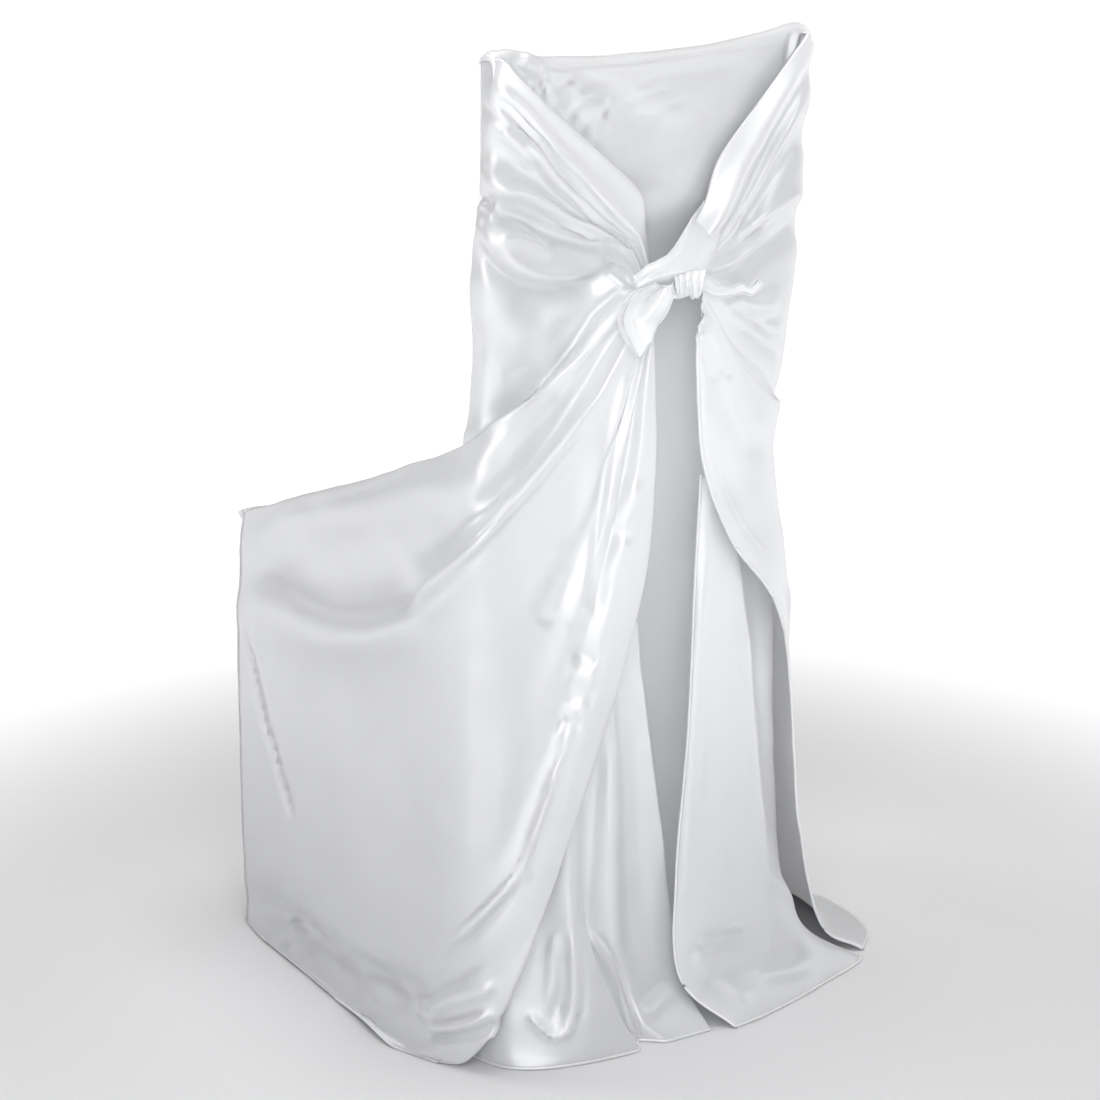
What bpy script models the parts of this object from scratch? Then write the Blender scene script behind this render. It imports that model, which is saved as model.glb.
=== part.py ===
"""Satin chair cover: a bag-shaped cover whose side cloth is pulled back and tied behind the backrest.

Seen from behind, +X is to the right, +Y is the way the sitter faces, and the floor is z = 0.
Tables are in centimetres, measured from the middle of the backrest's foot on the floor.
"""
from collections import namedtuple

import bmesh
import bpy
import numpy as np

for old in list(bpy.data.objects):
    bpy.data.objects.remove(old, do_unlink=True)

CM = 0.01
CLOTH = 0.2
WING_PULL = 0.36
FRONT_INSET = 0.24
PANEL_COLUMNS = 13
FRONT_COLUMNS = 12
KNOT_CENTRE = (0.2, -6.7, 76.4)
KNOT_SIZE = (3.62, 1.7, 2.0)
KNOT_RINGS = 16
KNOT_SIDES = 24
KNOT_PLEATS = 7
KNOT_PLEAT_DEPTH = 0.06
TIE_SIDES = 10
TIE_STEPS = 4
SPAN_STEPS = 2
FOLD_STEPS = 2
SAG_POWER = 2.6

# The shift that brings the origin under the middle of the finished cover.
ORIGIN_SHIFT = (-3.7, -15.1, 0.0)

SATIN = {"colour": (0.86, 0.87, 0.89), "roughness": 0.32, "metallic": 0.0}
PANEL_SATIN = {"colour": (0.80, 0.81, 0.84), "roughness": 0.36, "metallic": 0.0}
TIE_SATIN = {"colour": (0.89, 0.90, 0.92), "roughness": 0.30, "metallic": 0.0}

Seam = namedtuple("Seam", "name x y z right_lift")
Fold = namedtuple("Fold", "name root neck near mid far turn side reach seam")
Drop = namedtuple("Drop", "name top high mid low foot hem")
Level = namedtuple("Level", "name y z sag half_width right_lift")
Front = namedtuple("Front", "name seam y z")
Bend = namedtuple("Bend", "name x y z width depth")

# The line where a wing meets the front, on the left; the right one is its mirror image, lifted.
SEAM_LINE = (
    Seam("top corner", 18.6, -1.0, 98.6, 1.1),
    Seam("upper back", 18.8, -1.2, 90.0, 0.4),
    Seam("middle back", 19.0, -0.6, 82.0, 0.0),
    Seam("lower back", 18.7, 0.4, 71.0, 0.0),
    Seam("arm start", 18.8, 1.6, 62.0, 0.0),
    Seam("arm upper", 20.5, 9.0, 58.0, 0.0),
    Seam("arm middle", 21.4, 20.0, 53.6, 0.0),
    Seam("seat corner", 21.9, 41.0, 47.6, 0.0),
    Seam("drop top", 22.3, 41.5, 43.0, 0.0),
    Seam("drop middle", 23.1, 41.5, 24.0, 0.0),
    Seam("hem corner", 23.2, 40.9, 0.2, 0.0),
)

# Folds of the left wing, from the free edge of the V down to the free inner edge.
LEFT_WING = (
    Fold("v edge", (-1.6, -4.6, 79.2), (-2.1, -4.5, 82.2), (-3.0, -4.6, 85.8), (-8.0, -4.7, 90.0),
         (-13.4, -4.9, 94.2), (-17.2, -5.0, 97.4), (-18.3, -4.4, 98.7), (-18.7, -3.2, 99.0), 0.0),
    Fold("v band", (-2.0, -5.0, 79.0), (-2.8, -4.9, 81.9), (-4.9, -4.9, 85.0), (-9.4, -4.8, 89.0),
         (-14.4, -4.9, 93.3), (-17.9, -4.9, 96.6), (-18.8, -4.1, 97.4), (-18.9, -3.0, 97.7), 0.15),
    Fold("first ridge", (-2.4, -5.5, 78.8), (-3.5, -5.4, 81.7), (-6.5, -5.3, 84.5), (-10.6, -5.2, 88.1),
         (-15.2, -5.3, 92.4), (-18.3, -5.1, 95.4), (-19.0, -4.0, 95.9), (-19.1, -2.8, 96.1), 0.35),
    Fold("first valley", (-2.6, -5.2, 78.4), (-3.7, -4.8, 81.3), (-6.8, -4.3, 83.9), (-10.9, -4.2, 87.4),
         (-15.5, -4.3, 91.8), (-18.3, -4.3, 94.4), (-18.9, -3.5, 94.7), (-19.0, -2.5, 94.8), 0.5),
    Fold("second ridge", (-2.8, -5.6, 78.1), (-4.0, -5.2, 81.0), (-7.0, -4.9, 83.3), (-11.0, -4.9, 86.8),
         (-15.9, -5.0, 91.0), (-18.6, -4.6, 93.2), (-19.2, -3.6, 93.1), (-19.3, -2.6, 93.0), 0.68),
    Fold("second valley", (-2.9, -5.3, 77.8), (-4.1, -4.7, 80.7), (-7.1, -4.1, 82.6), (-11.4, -3.9, 85.5),
         (-16.0, -3.9, 88.8), (-18.6, -3.9, 90.7), (-19.2, -3.0, 90.6), (-19.3, -2.0, 90.6), 0.93),
    Fold("third ridge", (-3.0, -5.7, 77.5), (-4.2, -5.1, 80.4), (-7.0, -4.9, 82.2), (-11.2, -4.8, 84.5),
         (-16.0, -5.0, 86.7), (-18.8, -4.9, 87.4), (-19.5, -3.8, 88.2), (-19.6, -2.4, 88.6), 1.2),
    Fold("third valley", (-3.1, -5.4, 77.2), (-4.4, -4.5, 79.9), (-7.2, -3.8, 81.4), (-11.6, -3.5, 83.2),
         (-16.2, -3.5, 84.9), (-18.6, -3.6, 85.4), (-19.1, -2.7, 85.8), (-19.2, -1.8, 86.0), 1.5),
    Fold("swag fill", (-3.2, -5.7, 76.9), (-4.6, -4.9, 79.4), (-7.4, -4.4, 80.5), (-11.9, -4.4, 81.2),
         (-16.5, -4.5, 82.7), (-19.0, -4.4, 84.1), (-19.5, -3.2, 84.6), (-19.6, -2.0, 84.8), 1.65),
    Fold("swag ridge", (-3.3, -6.0, 76.6), (-4.9, -5.5, 78.7), (-7.4, -5.2, 79.4), (-12.4, -5.1, 78.8),
         (-17.0, -5.2, 80.3), (-19.6, -4.9, 82.4), (-20.1, -3.4, 83.4), (-20.0, -2.0, 83.6), 1.8),
    Fold("swag step", (-3.4, -5.8, 76.4), (-5.2, -4.6, 77.9), (-7.7, -3.4, 78.2), (-12.4, -2.9, 77.2),
         (-16.9, -3.0, 78.7), (-19.3, -3.1, 80.8), (-19.8, -2.2, 81.4), (-19.8, -1.2, 81.8), 2.0),
    Fold("flank", (-3.5, -6.0, 76.2), (-5.6, -4.8, 77.1), (-8.3, -3.5, 76.0), (-12.7, -3.3, 74.8),
         (-16.9, -3.2, 75.4), (-19.2, -2.6, 76.0), (-19.7, -1.6, 76.2), (-19.6, -0.6, 76.4), 2.5),
    Fold("lower flank", (-3.6, -6.1, 76.0), (-5.9, -4.8, 76.2), (-8.9, -3.2, 73.6), (-13.0, -2.7, 71.2),
         (-16.6, -2.5, 69.8), (-18.6, -2.0, 69.6), (-19.1, -1.0, 69.9), (-19.1, 0.1, 70.2), 3.1),
    Fold("tuck", (-3.7, -6.3, 75.8), (-6.1, -5.0, 75.6), (-9.5, -3.3, 71.7), (-13.3, -2.5, 67.6),
         (-16.9, -2.1, 64.7), (-19.4, -1.4, 63.2), (-20.0, -0.3, 62.7), (-19.8, 0.8, 62.3), 4.0),
    Fold("arm tuck", (-3.7, -6.5, 75.7), (-6.2, -5.4, 75.6), (-9.7, -4.2, 72.0), (-13.5, -3.7, 68.0),
         (-18.0, -3.2, 65.2), (-20.5, -0.9, 62.9), (-20.9, 3.2, 60.8), (-20.9, 6.2, 59.3), 5.0),
    Fold("arm hollow", (-3.8, -6.6, 75.6), (-6.3, -5.6, 75.5), (-9.8, -4.6, 72.1), (-13.6, -4.2, 68.1),
         (-18.3, -3.8, 65.5), (-20.8, -0.7, 62.7), (-21.5, 6.0, 59.5), (-21.6, 13.0, 56.5), 6.0),
    Fold("arm ridge", (-3.8, -6.7, 75.6), (-6.3, -5.8, 75.4), (-9.9, -4.9, 72.2), (-13.7, -4.6, 68.2),
         (-18.6, -4.2, 65.7), (-21.0, -0.5, 62.6), (-21.9, 9.0, 58.3), (-22.1, 24.0, 52.8), 7.0),
    Fold("arm slope", (-3.9, -6.9, 75.3), (-6.4, -6.3, 74.3), (-10.0, -5.7, 70.3), (-13.9, -5.3, 65.9),
         (-18.8, -4.9, 62.7), (-22.2, -2.4, 59.6), (-23.1, 8.0, 54.2), (-23.0, 24.0, 49.0), 7.3),
    Fold("arm valley", (-3.9, -6.8, 75.0), (-6.4, -6.2, 73.2), (-9.8, -5.0, 67.9), (-13.4, -4.5, 63.2),
         (-18.0, -4.4, 59.0), (-22.2, -3.0, 55.8), (-23.6, 7.0, 49.8), (-23.8, 23.0, 45.2), 7.65),
    Fold("lip", (-3.9, -7.2, 74.7), (-6.3, -7.3, 72.0), (-9.8, -7.2, 67.0), (-13.9, -7.1, 63.2),
         (-18.9, -7.0, 58.7), (-24.3, -6.2, 53.6), (-25.4, 6.0, 44.6), (-24.9, 23.0, 41.4), 8.0),
    Fold("under lip", (-3.9, -7.4, 74.4), (-6.0, -7.6, 70.8), (-9.0, -7.4, 65.4), (-13.1, -7.0, 59.8),
         (-18.2, -6.6, 54.6), (-23.3, -5.2, 48.6), (-24.4, 6.0, 39.8), (-24.1, 23.0, 36.8), 8.25),
    Fold("side upper", (-3.9, -7.5, 74.1), (-5.7, -7.7, 69.8), (-8.3, -7.5, 63.2), (-11.9, -7.1, 55.8),
         (-17.0, -6.4, 48.6), (-22.7, -4.6, 40.6), (-23.8, 6.0, 31.8), (-23.8, 23.0, 28.2), 8.7),
    Fold("side valley", (-3.9, -7.3, 73.8), (-5.5, -7.4, 69.2), (-7.9, -6.7, 61.2), (-10.9, -6.3, 52.8),
         (-15.6, -6.1, 43.6), (-22.5, -4.3, 32.0), (-23.8, 6.0, 22.4), (-24.0, 23.0, 16.4), 9.4),
    Fold("side lower", (-3.9, -7.6, 73.5), (-5.2, -7.9, 68.6), (-7.2, -7.5, 60.4), (-9.9, -7.2, 51.2),
         (-14.4, -6.8, 40.4), (-22.3, -4.4, 24.8), (-24.0, 5.0, 14.0), (-24.4, 21.0, 4.6), 10.0),
    Fold("band valley", (-3.8, -7.5, 73.2), (-5.0, -7.5, 68.2), (-6.6, -7.2, 59.6), (-9.0, -7.1, 50.2),
         (-13.2, -6.9, 38.0), (-21.9, -4.8, 18.4), (-24.4, 2.5, 8.8), (-25.0, 15.0, 1.6),
         (-24.4, 27.5, 0.2)),
    Fold("band ridge", (-3.7, -7.9, 72.9), (-4.6, -8.2, 67.8), (-5.8, -8.4, 59.0), (-8.0, -8.2, 49.4),
         (-12.0, -7.9, 36.6), (-20.4, -6.3, 16.4), (-24.6, -1.4, 6.8), (-25.7, 7.0, 1.2),
         (-25.5, 14.5, 0.2)),
    Fold("band middle", (-3.6, -7.9, 72.6), (-4.1, -8.3, 67.4), (-4.9, -8.6, 58.6), (-6.8, -8.5, 48.6),
         (-10.9, -8.3, 35.4), (-18.4, -7.4, 15.6), (-23.6, -4.0, 5.4), (-25.9, 0.6, 1.0),
         (-26.6, 5.2, 0.2)),
    Fold("inner edge", (-3.4, -7.7, 72.4), (-3.4, -8.0, 67.0), (-3.5, -8.2, 58.0), (-4.9, -8.2, 47.4),
         (-9.2, -8.2, 34.6), (-16.2, -8.0, 17.2), (-21.2, -6.8, 6.2), (-23.6, -4.4, 1.2),
         (-25.0, -1.6, 0.2)),
)

# Folds of the right wing, in the same order.
RIGHT_WING = (
    Fold("v edge", (0.9, -4.6, 79.0), (3.0, -4.6, 81.3), (5.1, -4.7, 84.2), (6.9, -4.8, 88.5),
         (11.5, -4.9, 93.5), (15.4, -5.1, 97.7), (17.4, -5.0, 99.6), (18.1, -3.8, 99.9), 0.0),
    Fold("v ridge", (1.8, -5.8, 79.0), (4.3, -5.9, 80.7), (6.8, -5.8, 83.4), (9.0, -5.7, 87.2),
         (12.9, -5.7, 92.0), (16.2, -5.6, 96.3), (17.9, -5.2, 98.3), (18.5, -4.0, 98.7), 0.15),
    Fold("first valley", (2.4, -5.4, 78.8), (5.3, -4.8, 80.0), (8.2, -4.3, 82.8), (10.5, -4.2, 86.3),
         (14.2, -4.3, 90.9), (17.0, -4.4, 94.7), (18.1, -4.2, 96.2), (18.6, -3.3, 96.6), 0.35),
    Fold("second ridge", (2.8, -5.7, 78.5), (5.9, -5.1, 79.4), (9.1, -4.8, 82.2), (11.7, -4.8, 85.8),
         (14.8, -4.8, 89.6), (17.4, -4.8, 92.6), (18.4, -4.2, 93.5), (18.8, -3.2, 93.8), 0.62),
    Fold("second valley", (3.1, -5.4, 78.1), (6.5, -4.3, 78.7), (10.1, -3.9, 81.2), (13.0, -3.8, 84.5),
         (15.8, -3.8, 87.5), (17.6, -3.8, 89.0), (18.4, -3.1, 89.4), (18.7, -2.3, 89.6), 1.0),
    Fold("third ridge", (3.3, -5.7, 77.7), (6.9, -4.8, 77.8), (9.7, -4.6, 78.8), (13.4, -4.6, 82.0),
         (16.2, -4.6, 83.4), (17.9, -4.3, 84.1), (18.6, -3.2, 84.4), (18.9, -2.0, 84.5), 1.7),
    Fold("third valley", (3.4, -5.4, 77.3), (7.1, -4.1, 76.8), (10.0, -3.6, 77.4), (13.6, -3.4, 80.0),
         (16.2, -3.4, 81.2), (17.7, -3.3, 81.8), (18.4, -2.4, 82.0), (18.7, -1.5, 82.0), 2.0),
    Fold("flank", (3.5, -5.6, 76.9), (7.2, -4.5, 75.6), (10.2, -4.2, 75.2), (13.6, -4.0, 76.0),
         (16.2, -3.9, 76.6), (17.9, -3.4, 77.0), (18.5, -2.2, 77.2), (18.8, -1.1, 77.2), 2.4),
    Fold("flank lip", (3.6, -5.9, 76.5), (6.9, -5.2, 74.2), (9.7, -4.9, 72.6), (12.5, -4.7, 71.4),
         (15.0, -4.4, 70.6), (16.6, -3.6, 70.2), (17.6, -2.4, 70.0), (18.2, -1.0, 70.0), 3.1),
    Fold("tuck", (3.6, -6.0, 76.1), (6.4, -5.1, 72.9), (9.2, -4.2, 70.0), (12.0, -3.6, 67.7),
         (14.4, -3.2, 65.9), (16.0, -2.4, 64.4), (17.3, -1.0, 63.2), (18.2, 0.4, 62.4), 4.0),
    Fold("arm tuck", (3.6, -6.1, 75.9), (6.3, -5.4, 72.5), (9.0, -4.6, 69.3), (11.9, -4.1, 66.5),
         (14.6, -3.6, 64.3), (17.0, -1.8, 62.9), (19.4, 1.6, 61.6), (20.6, 5.4, 59.8), 5.0),
    Fold("arm hollow", (3.6, -6.2, 75.8), (6.2, -5.6, 72.3), (8.9, -4.8, 69.0), (11.9, -4.3, 66.0),
         (14.7, -3.8, 63.8), (17.2, -1.8, 62.6), (20.4, 4.6, 60.3), (21.5, 12.4, 57.0), 6.0),
    Fold("arm ridge", (3.6, -6.3, 75.7), (6.1, -5.7, 72.1), (8.8, -5.0, 68.7), (11.9, -4.6, 65.6),
         (14.8, -4.0, 63.2), (17.3, -1.8, 62.2), (20.8, 7.0, 59.4), (22.1, 24.0, 53.0), 7.0),
    Fold("arm slope", (3.5, -6.3, 75.3), (5.7, -6.0, 71.2), (8.1, -5.4, 66.6), (11.0, -4.8, 62.2),
         (13.9, -4.2, 59.0), (16.5, -1.9, 56.8), (20.4, 8.0, 52.6), (22.4, 24.0, 48.6), 7.35),
    Fold("flap ridge", (3.4, -6.5, 75.0), (5.3, -6.3, 70.4), (7.5, -5.9, 65.0), (10.4, -5.3, 60.0),
         (13.8, -4.7, 55.4), (16.9, -2.4, 51.8), (21.4, 8.0, 46.6), (23.4, 24.0, 43.0), 7.85),
    Fold("flap slope", (3.3, -6.5, 74.7), (4.9, -6.3, 69.7), (6.9, -6.0, 63.6), (10.0, -5.5, 57.4),
         (14.4, -4.9, 51.2), (18.1, -2.2, 46.6), (22.2, 8.0, 39.0), (24.0, 24.0, 33.8), 8.5),
    Fold("flap hollow", (3.2, -6.6, 74.4), (4.5, -6.3, 69.0), (6.2, -6.1, 62.2), (9.7, -5.7, 54.8),
         (15.0, -5.1, 47.8), (18.9, -1.8, 42.0), (22.8, 8.0, 31.4), (24.6, 23.0, 20.6), 9.2),
    Fold("side lower", (3.1, -6.7, 74.0), (4.1, -6.4, 68.4), (5.4, -6.2, 61.0), (9.1, -5.9, 52.8),
         (15.1, -5.2, 46.0), (19.6, -1.6, 39.6), (23.2, 8.0, 25.6), (25.4, 21.5, 8.6), 10.0),
    Fold("side foot", (3.1, -6.7, 73.9), (4.0, -6.4, 68.2), (5.2, -6.2, 60.6), (8.9, -6.0, 52.5),
         (15.0, -5.3, 45.6), (19.7, -1.6, 38.7), (23.2, 6.6, 23.2), (26.2, 18.0, 7.0),
         (27.0, 33.0, 0.2)),
    Fold("side hem", (3.1, -6.8, 73.7), (3.9, -6.4, 68.0), (5.1, -6.2, 60.3), (8.8, -6.0, 52.2),
         (15.0, -5.3, 45.2), (19.8, -1.5, 37.8), (23.2, 5.4, 21.0), (27.4, 14.0, 5.4),
         (32.0, 20.0, 0.2)),
    Fold("corner fold", (3.0, -6.8, 73.5), (3.7, -6.3, 67.6), (4.8, -6.2, 59.6), (8.5, -6.1, 51.5),
         (14.8, -5.4, 44.3), (19.8, -1.4, 35.8), (22.4, 1.6, 18.6), (27.0, 5.6, 4.2),
         (34.4, 7.4, 0.2)),
    Fold("hem curl", (2.9, -6.8, 73.2), (3.5, -6.2, 67.3), (4.5, -6.1, 59.0), (8.2, -6.1, 50.9),
         (14.6, -5.5, 43.6), (19.6, -1.8, 34.4), (22.0, -0.4, 17.2), (26.0, 0.6, 3.8),
         (32.4, -1.0, 0.2)),
    Fold("inner edge", (2.7, -6.7, 72.8), (3.2, -6.2, 66.9), (4.2, -6.1, 58.4), (7.9, -6.1, 50.2),
         (14.2, -5.5, 42.7), (19.3, -2.2, 33.0), (21.4, -1.8, 16.0), (24.2, -2.6, 3.6),
         (28.4, -5.0, 0.2)),
)

# Pleats of the left gore, from the panel's edge round to the free fold beside the slit.
LEFT_GORE = (
    Drop("panel side", (-17.79, 0.1, 46.0), (-17.79, 0.7, 36.0), (-17.79, 1.4, 24.0),
         (-17.79, 2.2, 12.0), (-17.79, 2.7, 4.0), (-17.79, 2.9, 0.6)),
    Drop("outer turn", (-18.0, -2.2, 46.0), (-18.4, -2.0, 36.0), (-19.0, -1.8, 24.0),
         (-20.6, -0.4, 12.0), (-21.6, 0.2, 4.0), (-21.8, 0.4, 0.3)),
    Drop("hidden fold", (-12.2, -4.2, 46.0), (-14.2, -4.2, 36.0), (-16.6, -4.4, 24.0),
         (-18.4, -4.2, 12.0), (-19.8, -5.0, 3.6), (-20.4, -5.8, 0.2)),
    Drop("cone valley", (-8.8, -4.4, 45.6), (-11.0, -4.6, 36.0), (-13.6, -4.8, 24.0),
         (-15.6, -5.4, 12.0), (-17.4, -7.4, 2.6), (-17.8, -8.4, 0.2)),
    Drop("cone ridge", (-7.4, -4.7, 45.2), (-9.6, -5.2, 36.0), (-11.8, -6.0, 24.0),
         (-12.6, -8.0, 12.6), (-11.8, -10.0, 3.2), (-13.0, -10.2, 0.2)),
    Drop("cone edge", (-6.6, -4.6, 44.8), (-8.6, -4.9, 36.0), (-10.4, -5.5, 24.0),
         (-10.8, -7.4, 12.6), (-8.6, -10.0, 4.2), (-7.2, -11.0, 0.2)),
    Drop("cone tuck", (-5.8, -4.4, 44.4), (-7.8, -4.4, 36.0), (-9.2, -4.6, 24.0),
         (-9.6, -5.4, 12.6), (-8.2, -7.2, 4.2), (-5.6, -9.2, 0.2)),
    Drop("pleat ridge", (-5.0, -4.6, 44.0), (-6.3, -5.2, 35.4), (-7.0, -6.1, 23.6),
         (-7.2, -6.8, 12.4), (-5.8, -8.0, 4.4), (-3.2, -11.0, 0.2)),
    Drop("pleat valley", (-4.2, -4.6, 43.6), (-4.7, -4.5, 35.0), (-4.4, -4.7, 23.4),
         (-3.8, -5.2, 12.4), (-2.6, -7.2, 4.4), (-0.4, -11.2, 0.2)),
    Drop("free fold", (-3.2, -5.0, 43.2), (-2.2, -4.9, 34.8), (-0.3, -4.9, 23.2),
         (1.4, -5.0, 12.2), (1.9, -6.4, 4.2), (2.0, -11.3, 0.2)),
)

# Pleats of the right gore, from the fold beside the slit round to the panel's edge.
RIGHT_GORE = (
    Drop("free fold", (5.2, -4.4, 57.0), (4.0, -5.2, 46.0), (2.9, -5.8, 31.0),
         (1.3, -6.2, 15.0), (0.9, -7.7, 4.8), (4.5, -12.4, 0.2)),
    Drop("lit ridge", (6.2, -4.7, 56.6), (5.3, -6.0, 45.6), (4.7, -6.8, 30.6),
         (3.9, -7.4, 14.8), (4.6, -8.8, 5.0), (8.0, -12.0, 0.2)),
    Drop("panel middle", (7.6, -4.6, 55.6), (8.0, -5.4, 44.6), (8.6, -5.9, 30.0),
         (9.2, -6.2, 14.6), (10.2, -8.0, 5.2), (12.2, -11.2, 0.2)),
    Drop("outer ridge", (9.4, -4.4, 54.0), (10.4, -5.0, 43.2), (11.8, -5.4, 29.4),
         (13.6, -5.6, 14.2), (15.6, -6.2, 5.4), (18.8, -9.4, 0.2)),
    Drop("recess side", (10.4, -3.6, 52.6), (11.8, -3.6, 42.2), (13.4, -3.6, 29.0),
         (15.4, -3.8, 14.0), (19.6, -4.8, 4.6), (26.8, -6.4, 0.2)),
    Drop("recess", (12.4, -2.4, 50.2), (14.2, -2.2, 40.8), (15.8, -1.6, 28.4),
         (18.2, -1.6, 14.0), (21.0, -2.2, 5.0), (25.0, -2.6, 0.6)),
    Drop("outer turn", (16.4, -1.8, 47.6), (17.8, -1.0, 39.0), (18.6, -0.4, 27.8),
         (20.0, 0.4, 14.0), (20.8, 0.9, 5.4), (21.4, 1.2, 0.9)),
    Drop("panel side", (17.79, 0.0, 46.0), (17.79, 0.6, 37.0), (17.79, 1.2, 27.0),
         (17.79, 2.1, 14.0), (17.79, 2.6, 5.4), (17.79, 2.9, 0.6)),
)

# Levels of the back panel, from its seam in front of the crown down to its hem.
BACK_PANEL = (
    Level("front seam", -1.0, 98.69, 1.7, 18.0, 1.1),
    Level("crown front", -1.35, 99.6, 1.8, 18.1, 1.2),
    Level("crown", -2.3, 100.1, 1.9, 18.1, 1.2),
    Level("crown rear", -3.4, 99.2, 1.6, 18.1, 1.2),
    Level("upper back", -3.5, 96.5, 0.6, 18.0, 0.8),
    Level("middle back", -2.5, 84.0, 0.0, 17.4, 0.0),
    Level("lower back", -1.4, 67.0, 0.0, 16.0, 0.0),
    Level("seat level", -0.2, 48.0, 0.0, 17.0, 0.0),
    Level("below seat", 0.7, 36.0, 0.0, 17.57, 0.0),
    Level("shin", 1.8, 18.0, 0.0, 17.57, 0.0),
    Level("panel hem", 2.9, 0.6, 0.0, 17.57, 0.0),
)

# The front's middle line: where each level leaves the seam, and its depth and height there.
FRONT = (
    Front("top seam", 0.0, -1.0, 97.45),
    Front("upper back", 1.0, -0.2, 90.0),
    Front("middle back", 2.0, 0.6, 82.0),
    Front("lower back", 3.0, 1.6, 70.0),
    Front("back foot", 4.0, 3.0, 52.0),
    Front("seat rear", 4.8, 8.0, 48.2),
    Front("seat middle", 6.0, 22.0, 47.5),
    Front("seat front", 6.9, 40.2, 47.2),
    Front("front roll", 7.3, 42.0, 44.6),
    Front("drop top", 8.0, 42.4, 38.0),
    Front("drop middle", 9.0, 42.6, 20.0),
    Front("front hem", 10.0, 42.2, 0.2),
)

# The band across the knot, and the two free ends of the tie.
KNOT_BAND = (
    Bend("left end", -3.9, -7.5, 77.7, 0.8, 0.45),
    Bend("left rise", -2.0, -8.36, 78.2, 1.0, 0.5),
    Bend("right rise", 1.0, -8.47, 78.4, 0.95, 0.5),
    Bend("right end", 3.4, -7.6, 78.0, 0.8, 0.45),
)

LEFT_TIE = (
    Bend("start", -0.4, -8.8, 76.3, 0.6, 0.4),
    Bend("loop top", -3.9, -9.2, 76.9, 0.9, 0.45),
    Bend("loop outer", -6.7, -9.1, 75.2, 0.9, 0.45),
    Bend("loop side", -7.2, -9.2, 72.6, 0.9, 0.45),
    Bend("loop tip", -5.2, -9.5, 70.3, 0.7, 0.45),
    Bend("loop return", -3.4, -9.4, 72.4, 1.0, 0.45),
    Bend("loop end", -2.2, -9.2, 74.4, 1.0, 0.45),
)

RIGHT_TIE = (
    Bend("start", 3.7, -7.36, 77.0, 0.5, 0.4),
    Bend("rise", 5.4, -7.3, 77.9, 0.7, 0.45),
    Bend("dip", 7.2, -7.0, 76.7, 0.6, 0.45),
    Bend("twist", 9.0, -6.8, 76.4, 0.7, 0.4),
    Bend("tip", 10.9, -6.5, 76.8, 0.45, 0.25),
)


def make_material(name, look):
    """A plain Principled satin."""
    material = bpy.data.materials.new(name)
    material.use_nodes = True
    shader = material.node_tree.nodes["Principled BSDF"]
    shader.inputs["Base Color"].default_value = (*look["colour"], 1.0)
    shader.inputs["Roughness"].default_value = look["roughness"]
    shader.inputs["Metallic"].default_value = look["metallic"]
    return material


def smooth_curve(points, positions, limited=False):
    """Points on a cubic curve through the given points, at positions counted in spans.

    A limited curve never swings past its points, so ridges and valleys stay where they are stated.
    """
    points = np.asarray(points, dtype=float)
    chords = np.diff(points, axis=0)
    before = np.concatenate([chords[:1], chords])
    after = np.concatenate([chords, chords[-1:]])
    tangents = 0.5 * (before + after)
    if limited:
        product = before * after
        total = before + after
        total = np.where(np.abs(total) < 1e-9, 1.0, total)
        tangents = np.where(product > 0.0, 2.0 * product / total, 0.0)
    positions = np.asarray(positions, dtype=float)
    span = np.clip(positions.astype(int), 0, len(points) - 2)
    shape = (-1,) + (1,) * (points.ndim - 1)
    t = (positions - span).reshape(shape)
    rise = t * t * (3.0 - 2.0 * t)
    leave = t * (1.0 - t) ** 2
    arrive = t * t * (t - 1.0)
    return points[span] + chords[span] * rise + tangents[span] * leave + tangents[span + 1] * arrive


def even_steps(count, steps):
    """Positions along a curve of count points, with steps of them in each span."""
    return np.linspace(0.0, count - 1.0, (count - 1) * steps + 1)


def seam_point(side, position):
    """A point of the front seam; side is -1 on the left and 1 on the right."""
    lift = max(side, 0)
    points = [(side * row.x, row.y, row.z + lift * row.right_lift) for row in SEAM_LINE]
    return smooth_curve(points, [position], limited=True)[0]


def wing_rows(table, side):
    """Station points of each fold, the last one on the seam or on the hem."""
    rows = []
    for fold in table:
        last = fold.seam
        if not isinstance(last, tuple):
            last = seam_point(side, last)
        rows.append([fold.root, fold.neck, fold.near, fold.mid, fold.far, fold.turn,
                     fold.side, fold.reach, last])
    return np.array(rows, dtype=float)


def loft(rows, fold_steps, span_steps):
    """Grid of points through the rows of stations, smooth both ways."""
    rows = np.asarray(rows, dtype=float)
    across = smooth_curve(rows, even_steps(rows.shape[0], fold_steps), limited=True)
    turned = np.swapaxes(across, 0, 1)
    along = smooth_curve(turned, even_steps(rows.shape[1], span_steps))
    return np.swapaxes(along, 0, 1)


def grid_normals(grid):
    """Unit normals of a grid of points."""
    along_rows = np.gradient(grid, axis=0)
    along_stations = np.gradient(grid, axis=1)
    normals = np.cross(along_rows, along_stations)
    length = np.linalg.norm(normals, axis=2, keepdims=True)
    return normals / np.maximum(length, 1e-9)


def pull_back(grid, distance, end):
    """The grid with one end of every row cut shorter by a distance; end is 0 or -1."""
    grid = grid.copy()
    inner = 1 if end == 0 else -2
    step = grid[:, inner] - grid[:, end]
    length = np.linalg.norm(step, axis=1, keepdims=True)
    grid[:, end] += step / length * np.minimum(distance, 0.6 * length)
    return grid


def finish_object(name, builder, look):
    """An object from a finished bmesh, shaded smooth, with its own material."""
    bmesh.ops.recalc_face_normals(builder, faces=builder.faces)
    mesh = bpy.data.meshes.new(name)
    builder.to_mesh(mesh)
    builder.free()
    mesh.shade_smooth()
    mesh.materials.append(make_material(name + "_satin", look))
    item = bpy.data.objects.new(name, mesh)
    bpy.context.collection.objects.link(item)
    return item


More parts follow.
